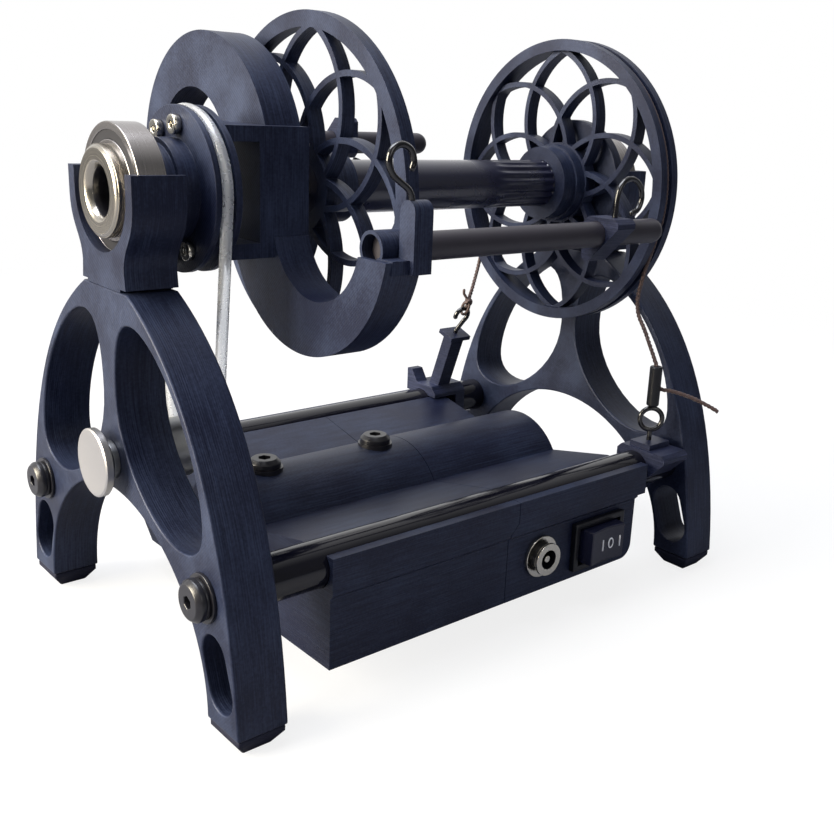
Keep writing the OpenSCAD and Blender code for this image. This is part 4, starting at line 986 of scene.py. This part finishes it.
@dataclass
class BrakeCord:
    """The brown twine that brakes the bobbin, from the post's hook to its loose end.

    Its route repeats the one that the CAD gives. Three strands are laid round it, a turn for each lay length.
    """

    diameter_mm: float = 1.5
    strands: int = 3
    lay_mm: float = 4.2
    # a strand's radius and the radius of its helix, as shares of the twine's radius
    strand_share: float = 0.52
    helix_share: float = 0.5
    strand_sides: int = 8
    # the groove's bottom: the radius of the cord's centreline, and its place along the stand
    path_r: float = 43.8
    brake_x: float = 157.8
    # the straight run that leaves the groove towards the knot
    straight_mm: float = 15.0
    hook_hold: tuple[float, float, float] = (147.33, 32.19, 70.31)
    knot: tuple[float, float, float] = (147.71, 31.52, 72.15)
    bow: tuple[tuple[float, float], ...] = ((-37.0, 84.0), (-41.8, 73.5))
    sleeve: tuple[float, float, float] = (157.8, -47.1, 51.4)
    sleeve_len: float = 13.0
    # the loop round the hook's wire: half its length, half its width and its strand's radius
    loop_half: tuple[float, float] = (2.55, 1.55)
    loop_r: float = 0.5
    knot_r: float = 0.55
    knot_scale: tuple[float, float, float] = (0.36, 0.36, 0.7)
    short_end: tuple[tuple[float, float, float], ...] = (
        (0.0, 0.0, 0.0),
        (-0.6, 0.5, 1.5),
        (-1.5, 0.8, 2.9),
        (-1.7, 0.6, 4.2),
    )
    tail_start: tuple[float, float] = (1.7, -1.6)
    tail: tuple[tuple[float, float, float], ...] = (
        (0, 0, 5.4),
        (1.5, -1.8, 5.3),
        (3.1, -3.8, 4.9),
        (4.6, -5.8, 4.3),
        (6.0, -7.6, 3.6),
        (7.4, -9.5, 2.8),
        (8.7, -11.2, 1.9),
        (10.0, -12.9, 0.9),
        (11.2, -14.4, -0.1),
    )

    def tangent(self, y: float, z: float, side: int) -> float:
        """The angle at which a straight cord from a point meets the groove.

        Args:
            y: the point's place across the stand.
            z: its height.
            side: +1 for the back, -1 for the front.
        Returns:
            The angle about the flyer's axis, in radians.
        """
        dz = z - AXIS_UP
        angle = math.atan2(dz, y)
        if side < 0:
            angle += 2 * math.pi
        return angle + side * math.acos(self.path_r / math.hypot(y, dz))

    def on_groove(self, angle: float) -> np.ndarray:
        """A point of the groove's circle."""
        r = self.path_r
        return np.array([self.brake_x, r * math.cos(angle), AXIS_UP + r * math.sin(angle)])

    def route(self) -> np.ndarray:
        """The cord's points: hook, knot, groove, sleeve, loose end.

        Returns:
            (n, 3) points in mm.
        """
        back = self.tangent(self.knot[1], self.knot[2], 1)
        x, y, z = self.sleeve
        top = z + self.sleeve_len
        front = self.tangent(*self.bow[0], -1)
        leave = self.on_groove(back) + self.straight_mm * np.array([0.0, math.sin(back), -math.cos(back)])
        arc = [self.on_groove(a) for a in np.linspace(back, front, 40)]
        start = np.array([x + self.tail_start[0], y + self.tail_start[1], z])
        loose = [start + np.array(p) for p in self.tail]
        slack = [np.array([self.brake_x, *spot]) for spot in self.bow]
        inside = [np.array(p) for p in ((x, y, top), (x, y, top - 3.5), (x + 0.6, y - 0.6, z + 6.8))]
        return np.array([self.hook_hold, self.knot, leave, *arc, *slack, *inside, *loose])

    def build(self, shop: Workshop) -> None:
        """Lays the strands round the route, each on a helix about it, and ties the knot.

        Args:
            shop: the workshop that finishes and counts the pieces.
        """
        points = self.route()
        line = smooth_path(np.array([place(*p) for p in points]), 0.0011)
        u, v = path_frames(line)
        run = np.concatenate([[0], np.cumsum(np.linalg.norm(np.diff(line, axis=0), axis=1))])
        half = self.diameter_mm / 2 * MM
        strand_r, helix_r = half * self.strand_share, half * self.helix_share
        verts, faces, base = [], [], 0
        sides = self.strand_sides
        for k in range(self.strands):
            turn = run / (self.lay_mm * MM) * 2 * np.pi + k * 2 * np.pi / self.strands
            centre = line + helix_r * (np.cos(turn)[:, None] * u + np.sin(turn)[:, None] * v)
            a, b = path_frames(centre)
            angle = np.linspace(0, 2 * np.pi, sides, endpoint=False)
            ring = np.cos(angle)[None, :, None] * a[:, None] + np.sin(angle)[None, :, None] * b[:, None]
            verts.append((centre[:, None] + strand_r * ring).reshape(-1, 3))
            n = len(centre)
            faces += (grid_faces(n, sides) + base).tolist()
            faces.append([base + i for i in range(sides)][::-1])
            faces.append([base + (n - 1) * sides + i for i in range(sides)])
            base += n * sides
        twine = mesh_object("brake_twine", np.vstack(verts), faces)
        outward(twine)
        shop.stand_in(twine, "twine", "brake_cord", "cord_tail")
        knot = self.tie(place(*self.knot), np.array(self.knot) - np.array(self.hook_hold))
        shop.finish_piece(knot, "twine", "stand")
        ends = self.loop_and_end()
        for piece in ends:
            shop.finish_piece(piece, "twine", "stand")

    def loop_and_end(self) -> list[Piece]:
        """The loop from the knot round the hook's wire, an ellipse, and the short end left at the knot.

        Returns:
            The two pieces.
        """
        knot, hold = np.array(self.knot), np.array(self.hook_hold)
        out = (knot - hold) / np.linalg.norm(knot - hold)
        side = np.cross(out, [1.0, 0.0, 0.0])
        side /= np.linalg.norm(side)
        t = np.linspace(0, 2 * np.pi, 48, endpoint=False)[:, None]
        half, width = self.loop_half
        ring = knot - half * out + half * np.cos(t) * out + width * np.sin(t) * side
        loop = tube("twine_loop", np.array([place(*p) for p in ring]), self.loop_r * MM, 10, closed=True)
        end = smooth_path(np.array([place(*p) for p in knot + np.array(self.short_end)]), 0.0005)
        return [loop, tube("twine_end", end, self.loop_r * MM, 10)]

    def tie(self, centre: np.ndarray, along: np.ndarray) -> Piece:
        """An overhand knot: a trefoil curve, stretched along the cord and drawn tight.

        Args:
            centre: the knot's middle, in metres.
            along: the cord's direction there.
        Returns:
            The knot.
        """
        t = np.linspace(0, 2 * np.pi, 90, endpoint=False)
        local = np.stack([np.sin(t) + 2 * np.sin(2 * t), np.cos(t) - 2 * np.cos(2 * t), -np.sin(3 * t)], -1)
        local *= np.array(self.knot_scale) * MM
        z = along / np.linalg.norm(along)
        x = np.cross(z, [0.0, 1.0, 0.0])
        x /= np.linalg.norm(x)
        y = np.cross(z, x)
        path = centre + local @ np.stack([x, y, z])
        return tube("twine_knot", path, self.knot_r * MM, 10, closed=True)


@dataclass
class Hook:
    """One bent wire hook, given by points on its bends in its own plane, in mm."""

    name: str
    cad_node: str
    points: tuple[tuple[float, float, float], ...]
    wire_r: float = 0.8
    turn_about_axis: bool = False

    def build(self, shop: Workshop) -> None:
        """Sweeps the wire, turned half round the flyer's axis for the back one.

        Args:
            shop: the workshop that finishes and counts the pieces.
        """
        pts = np.array(self.points, float)
        if self.turn_about_axis:
            pts = pts * np.array([1.0, -1.0, -1.0]) + np.array([0.0, 0.0, 2 * AXIS_UP])
        line = smooth_path(np.array([place(*p) for p in pts]), 0.0004)
        shop.stand_in(tube(self.name, line, self.wire_r * MM, 14), "wire", self.cad_node)


class StandFrames:
    """A-frames, cradles, pads, rails and their fixings."""

    def build(self, shop: Workshop) -> None:
        """Makes the stand's pieces.

        Args:
            shop: the workshop that finishes and counts the pieces.
        """
        for side in ("left", "right"):
            shop.ease(f"{side}_frame", "frame_print", 0.7, 3)
            shop.ease(f"{side}_cradle", "frame_print", 0.35)
        shop.dress("cradle_screws", "black_oxide_and_bore_shade")
        for rail in ("front_rail", "back_rail"):
            shop.ease(rail, "gloss_tube", 0.3)
        shop.ease("rail_bolts", "black_oxide_and_bore_shade", 0.25)
        shop.ease("rail_washers", "black_oxide_and_bore_shade", 0.15)
        shop.ease("foot_pads", "pad", 0.5)


class Bearings:
    """Two ball bearings with their seals."""

    def build(self, shop: Workshop) -> None:
        """Makes the rings, balls and seals.

        Args:
            shop: the workshop that finishes and counts the pieces.
        """
        shop.ease("bearing_outer_rings", "ring_steel", 0.35, 3)
        shop.ease("bearing_inner_rings", "ring_steel", 0.25)
        shop.dress("bearing_balls", "ring_steel")
        shop.dress("bearing_seals", "seal")


class Housings:
    """The boxes under the platform with their covers and screws."""

    def build(self, shop: Workshop) -> None:
        """Makes the housings.

        Args:
            shop: the workshop that finishes and counts the pieces.
        """
        shop.ease("motor_housing", "box_print", 0.45)
        shop.ease("control_housing", "box_print", 0.45)
        for cover in ("motor_cover", "control_cover"):
            shop.ease(cover, "box_print", 0.3)
        for name in ("cover_screws", "ridge_washers"):
            shop.dress(name, "black_oxide_and_bore_shade")
        shop.ease("ridge_screws", "black_oxide_and_bore_shade", 0.2)
        shop.dress("motor_sleeve", "box_print")


@dataclass
class Drive:
    """Motor, pulley, belt and board."""

    whorl_path_r: float = 19.2
    pulley_path_r: float = 8.0
    belt_r: float = 1.5
    belt_x: float = 22.9
    motor_z: float = 19.0

    def belt(self) -> Piece:
        """A round cord on two arcs and the two straight tangents between them.

        Returns:
            The belt.
        """
        span = AXIS_UP - self.motor_z
        lean = math.asin((self.whorl_path_r - self.pulley_path_r) / span)
        top = np.linspace(-lean, math.pi + lean, 70)
        low = np.linspace(math.pi + lean, 2 * math.pi - lean, 40)
        arcs = [(self.whorl_path_r, AXIS_UP, top), (self.pulley_path_r, self.motor_z, low)]
        runs = [np.stack([r * np.cos(a), z + r * np.sin(a)], -1) for r, z, a in arcs]
        gap = [np.linspace(runs[0][-1], runs[1][0], 40)[1:-1], np.linspace(runs[1][-1], runs[0][0], 40)[1:-1]]
        flat = np.vstack([runs[0], gap[0], runs[1], gap[1]])
        points = np.array([place(self.belt_x, y, z) for y, z in flat])
        return tube("drive_belt_cord", points, self.belt_r * MM, 18, closed=True)

    def build(self, shop: Workshop) -> None:
        """Makes the drive's pieces.

        Args:
            shop: the workshop that finishes and counts the pieces.
        """
        shop.stand_in(self.belt(), "belt", "drive_belt")
        shop.dress("motor", "zinc")
        shop.dress("motor_shaft", "ring_steel")
        shop.ease("motor_pulley", "flyer_print", 0.25)
        shop.dress("controller_board", "board")


@dataclass
class Controls:
    """Speed knob, rocker switch and power socket."""

    switch_x: float = 128.0
    panel_z: float = 14.9
    # the rocker's ridge, its half length, and how far its slopes fall to the ends
    rocker_middle_y: float = -57.7
    rocker_half: float = 7.2
    rocker_fall: float = 0.9
    # the marks: half height and line of an I, how far they stand out, the O, and their places
    mark_half: float = 1.6
    mark_r: float = 0.24
    mark_proud: float = 0.04
    ring_half: tuple[float, float] = (1.0, 1.5)
    ring_line_r: float = 0.22
    mark_gap: float = 3.6
    mark_shift: float = 1.8
    # the socket: the plane before which its ring is plated, and the radii that tell ring from pin
    socket_front_y: float = -56.2
    socket_ring_r: float = 2.9
    socket_pin_r: float = 1.6
    knob_r: float = 8.75

    def marks(self) -> list[Piece]:
        """Raised I, O and I marks that follow the rocker's two slopes.

        Returns:
            The three marks.
        """
        made = []
        for count, tag in enumerate(("on_one", "off", "on_two")):
            x = self.mark_shift + (count - 1) * self.mark_gap
            y = self.rocker_middle_y - self.rocker_fall * abs(x) / self.rocker_half - self.mark_proud
            x += self.switch_x
            if tag == "off":
                wide, high = self.ring_half
                a = np.linspace(0, 2 * np.pi, 40, endpoint=False)
                spots = [(x + wide * math.cos(t), y, self.panel_z + high * math.sin(t)) for t in a]
            else:
                spots = [(x, y, self.panel_z + z) for z in np.linspace(-self.mark_half, self.mark_half, 8)]
            radius = self.ring_line_r if tag == "off" else self.mark_r
            path = np.array([place(*spot) for spot in spots])
            made.append(tube(f"mark_{tag}", path, radius * MM, 8, closed=tag == "off"))
        return made

    def knob(self) -> Piece:
        """A thin turned disc with a slightly dished face and a chamfered rim.

        Returns:
            The disc.
        """
        outer = self.knob_r
        face = [(-5.36, 0.0), (-5.36, 7.4), (-5.4, 7.7), (-5.38, outer - 0.35), (-5.1, outer)]
        back = [(-3.5, outer), (-3.2, outer - 0.3), (-3.2, 4.7), (-2.2, 4.6), (-2.2, 0.0)]
        return turned("knob_disc", face + back, place(0.0, 0.0, KNOB_UP), 96)

    def brighten_front(self, shop: Workshop, socket: Piece) -> None:
        """Gives the socket's front ring and its pin the nickel finish; the barrel stays black.

        Args:
            shop: the workshop, for the finish.
            socket: the socket's piece.
        """
        mesh = socket.data
        mesh.materials.append(shop.paint.get("nickel"))
        count = len(mesh.polygons)
        centres, normals = np.empty(count * 3), np.empty(count * 3)
        mesh.polygons.foreach_get("center", centres)
        mesh.polygons.foreach_get("normal", normals)
        at, out = centres.reshape(-1, 3), normals.reshape(-1, 3)
        low, high = (np.array(corner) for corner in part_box("power_socket"))
        middle = (low + high) / 2
        reach = np.hypot(at[:, 0] - middle[0], at[:, 2] - middle[2])
        ring = (at[:, 1] < self.socket_front_y * MM) & (reach > self.socket_ring_r * MM)
        pin = (reach < self.socket_pin_r * MM) & (out[:, 1] < 0.99)
        mesh.polygons.foreach_set("material_index", (ring | pin).astype(np.int32))
        mesh.update()

    def build(self, shop: Workshop) -> None:
        """Makes the controls.

        Args:
            shop: the workshop that finishes and counts the pieces.
        """
        shop.stand_in(self.knob(), "knob_face", "speed_knob")
        shop.dress("knob_shaft", "nickel")
        shop.ease("speed_control", "zinc", 0.2)
        shop.ease("switch_body", "moulded", 0.35)
        shop.ease("rocker", "rocker", 0.4, 3)
        for mark in self.marks():
            shop.finish_piece(mark, "mark", "rocker")
        socket = shop.ease("power_socket", "black_oxide_and_bore_shade", 0.15)
        self.brighten_front(shop, socket)
        shop.ease("socket_nut", "nickel", 0.2)


@dataclass
class Flyer:
    """Orifice, whorl, arms, rods and fixed hooks."""

    # where the front fixed hook's wire leaves its lug
    post: tuple[float, float, float] = (47.9, -57.1, 119.7)
    # the radius within which the orifice's wall is its bore, and the depth at which its lip ends: the bore's
    # wall behind the lip gets painted shade
    bore_reach: float = 5.95
    lip: float = 1.45

    def paint_bore_shade(self, shop: Workshop, orifice: Piece) -> None:
        """Paints shade into the orifice's bore: its faces behind the polished lip get the black finish as
        painted shade.

        Args:
            shop: the workshop, for the finish.
            orifice: the orifice's piece.
        """
        mesh = orifice.data
        # painted shade: this black finish stands in for the shade deep inside the bore
        mesh.materials.append(shop.paint.get("black_oxide_and_bore_shade"))
        centres = np.empty(len(mesh.polygons) * 3)
        mesh.polygons.foreach_get("center", centres)
        at = centres.reshape(-1, 3)
        low, high = (np.array(corner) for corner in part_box("orifice_tube"))
        middle = (low + high) / 2
        reach = np.hypot(at[:, 1] - middle[1], at[:, 2] - middle[2])
        # the faces deep in the bore, which get the painted shade
        inside = (reach < self.bore_reach * MM) & (at[:, 0] > low[0] + self.lip * MM)
        mesh.polygons.foreach_set("material_index", inside.astype(np.int32))
        mesh.update()

    def build(self, shop: Workshop) -> None:
        """Makes the flyer's pieces.

        Args:
            shop: the workshop that finishes and counts the pieces.
        """
        # the orifice, with painted shade in its bore
        self.paint_bore_shade(shop, shop.ease("orifice_tube", "warm_steel", 0.2))
        for half in ("whorl_front", "whorl_rear"):
            shop.ease(half, "flyer_print", 0.3)
        shop.ease("whorl_screw_set", "nickel", 0.25)
        shop.ease("flyer_body", "flyer_print", 0.6, 3)
        for rod in ("front_flyer_rod", "back_flyer_rod"):
            shop.ease(rod, "satin_rod", 0.2)
        shop.dress("flyer_shaft", "ring_steel")
        shop.ease("rear_hub", "flyer_print", 0.4)
        x, y, z = self.post
        points = (
            (x, y, z - 4.0),
            (x, y, z),
            (x - 1.0, y, z + 2.2),
            (x - 3.3, y, z + 3.9),
            (x - 5.6, y, z + 5.6),
            (x - 6.8, y, z + 8.3),
            (x - 5.9, y, z + 11.0),
            (x - 3.3, y, z + 12.1),
            (x - 0.7, y, z + 10.9),
            (x + 0.2, y, z + 8.5),
            (x - 0.2, y, z + 7.0),
        )
        Hook("front_fixed_hook", "front_lug_hook", points).build(shop)
        Hook("back_fixed_hook", "back_lug_hook", points, turn_about_axis=True).build(shop)


@dataclass
class Bobbin:
    """Two rosette flanges on a gloss tube."""

    core_r: float = 7.3
    bore_r: float = 4.08
    rim_ease: float = 0.15
    # the flutes: how many, how deep, where they start and stop from the right end, and their run-in
    flutes: int = 18
    flute_deep: float = 0.5
    flute_from: float = 40.8
    flute_to: float = 14.5
    run_in: float = 10.0
    run_out: float = 0.5

    def core(self) -> Piece:
        """A tube with a fluted right end: its radius dips by a cosine of the angle, more and more along x.

        Returns:
            The tube.
        """
        low, high = (np.array(corner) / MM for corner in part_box("bobbin_core"))
        first, last = high[0] - self.flute_from, high[0] - self.flute_to
        ease = self.rim_ease
        fluted = np.linspace(first, last, 40)
        xs = np.concatenate([[low[0], low[0] + ease], fluted, [last + self.run_out, high[0] - ease]])
        grow = np.clip((xs - first) / self.run_in, 0, 1)
        grow = grow * np.clip((last + self.run_out - xs) / self.run_out, 0, 1)
        grow = grow * grow * (3 - 2 * grow)
        sides = self.flutes * 12
        a = np.linspace(0, 2 * np.pi, sides, endpoint=False)
        wave = 0.5 + 0.5 * np.cos(self.flutes * a)
        outer = self.core_r - self.flute_deep * grow[:, None] * wave[None]
        outer[0] -= ease
        xs = np.concatenate([xs, [high[0], high[0], low[0]]])
        ends = np.full((3, sides), self.bore_r)
        ends[0] = self.core_r - ease
        radius = np.vstack([outer, ends])
        middle = (low + high) / 2
        run = np.repeat(xs[:, None], sides, 1)
        verts = np.stack([run, middle[1] + radius * np.cos(a), middle[2] + radius * np.sin(a)], -1)
        verts = verts.reshape(-1, 3) * MM
        made = mesh_object("bobbin_core_fluted", verts, grid_faces(len(xs), sides, wrap_rows=True))
        outward(made)
        made.data.shade_smooth()
        made.data.set_sharp_from_angle(angle=math.radians(SHARP_DEG))
        return made

    def build(self, shop: Workshop) -> None:
        """Makes the bobbin's pieces.

        Args:
            shop: the workshop that finishes and counts the pieces.
        """
        shop.ease("front_flange", "flyer_print", 0.4)
        shop.ease("rear_flange", "flyer_print", 0.35)
        shop.stand_in(self.core(), "core_tube", "bobbin_core")


@dataclass
class SlidingHook:
    """A clip block on a rod with a wire hook."""

    tag: str
    stem_x: float
    behind: bool = False
    y: float = -51.94

    def build(self, shop: Workshop) -> None:
        """Makes the block and the wire.

        Args:
            shop: the workshop that finishes and counts the pieces.
        """
        shop.ease(f"{self.tag}_slider", "clip_print", 0.35)
        x, y = self.stem_x, self.y
        points = (
            (x, y, 111.6),
            (x + 0.1, y, 113.6),
            (x + 0.3, y, 117.6),
            (x + 1.4, y, 120.9),
            (x + 4.2, y, 122.9),
            (x + 7.6, y, 122.6),
            (x + 10.3, y, 120.4),
            (x + 11.0, y, 117.3),
            (x + 9.7, y, 114.5),
            (x + 7.2, y, 113.5),
        )
        name, cad_node = f"{self.tag}_sliding_hook", f"{self.tag}_slider_hook"
        Hook(name, cad_node, points, turn_about_axis=self.behind).build(shop)


class Brake:
    """Post, clamp, ring and sleeve of the bobbin brake."""

    def build(self, shop: Workshop) -> None:
        """Makes the brake's pieces.

        Args:
            shop: the workshop that finishes and counts the pieces.
        """
        shop.ease("brake_post", "clip_print", 0.3)
        shop.ease("brake_clamp", "clip_print", 0.35)
        shop.dress("brake_post_hook", "wire")
        shop.dress("brake_ring", "wire")
        shop.ease("cord_sleeve", "moulded", 0.5, 3)


def main() -> None:
    """Loads the frame and builds every sub-assembly in order."""
    logging.basicConfig(level=logging.INFO, format="%(name)s: %(message)s")
    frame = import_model()
    DATUM.read()
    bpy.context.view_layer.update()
    bpy.context.scene.view_settings.view_transform = "Standard"
    shop = Workshop(frame, Paintbox())
    Stage().build()
    BrakeCord().build(shop)
    for assembly in (StandFrames(), Bearings(), Housings(), Drive(), Controls(), Flyer(), Bobbin(), Brake()):
        assembly.build(shop)
    SlidingHook("front", 125.0).build(shop)
    SlidingHook("back", 104.0, behind=True).build(shop)
    bpy.context.view_layer.update()
    LOG.info("%d pieces dressed", shop.count)


if __name__ == "__main__":
    main()
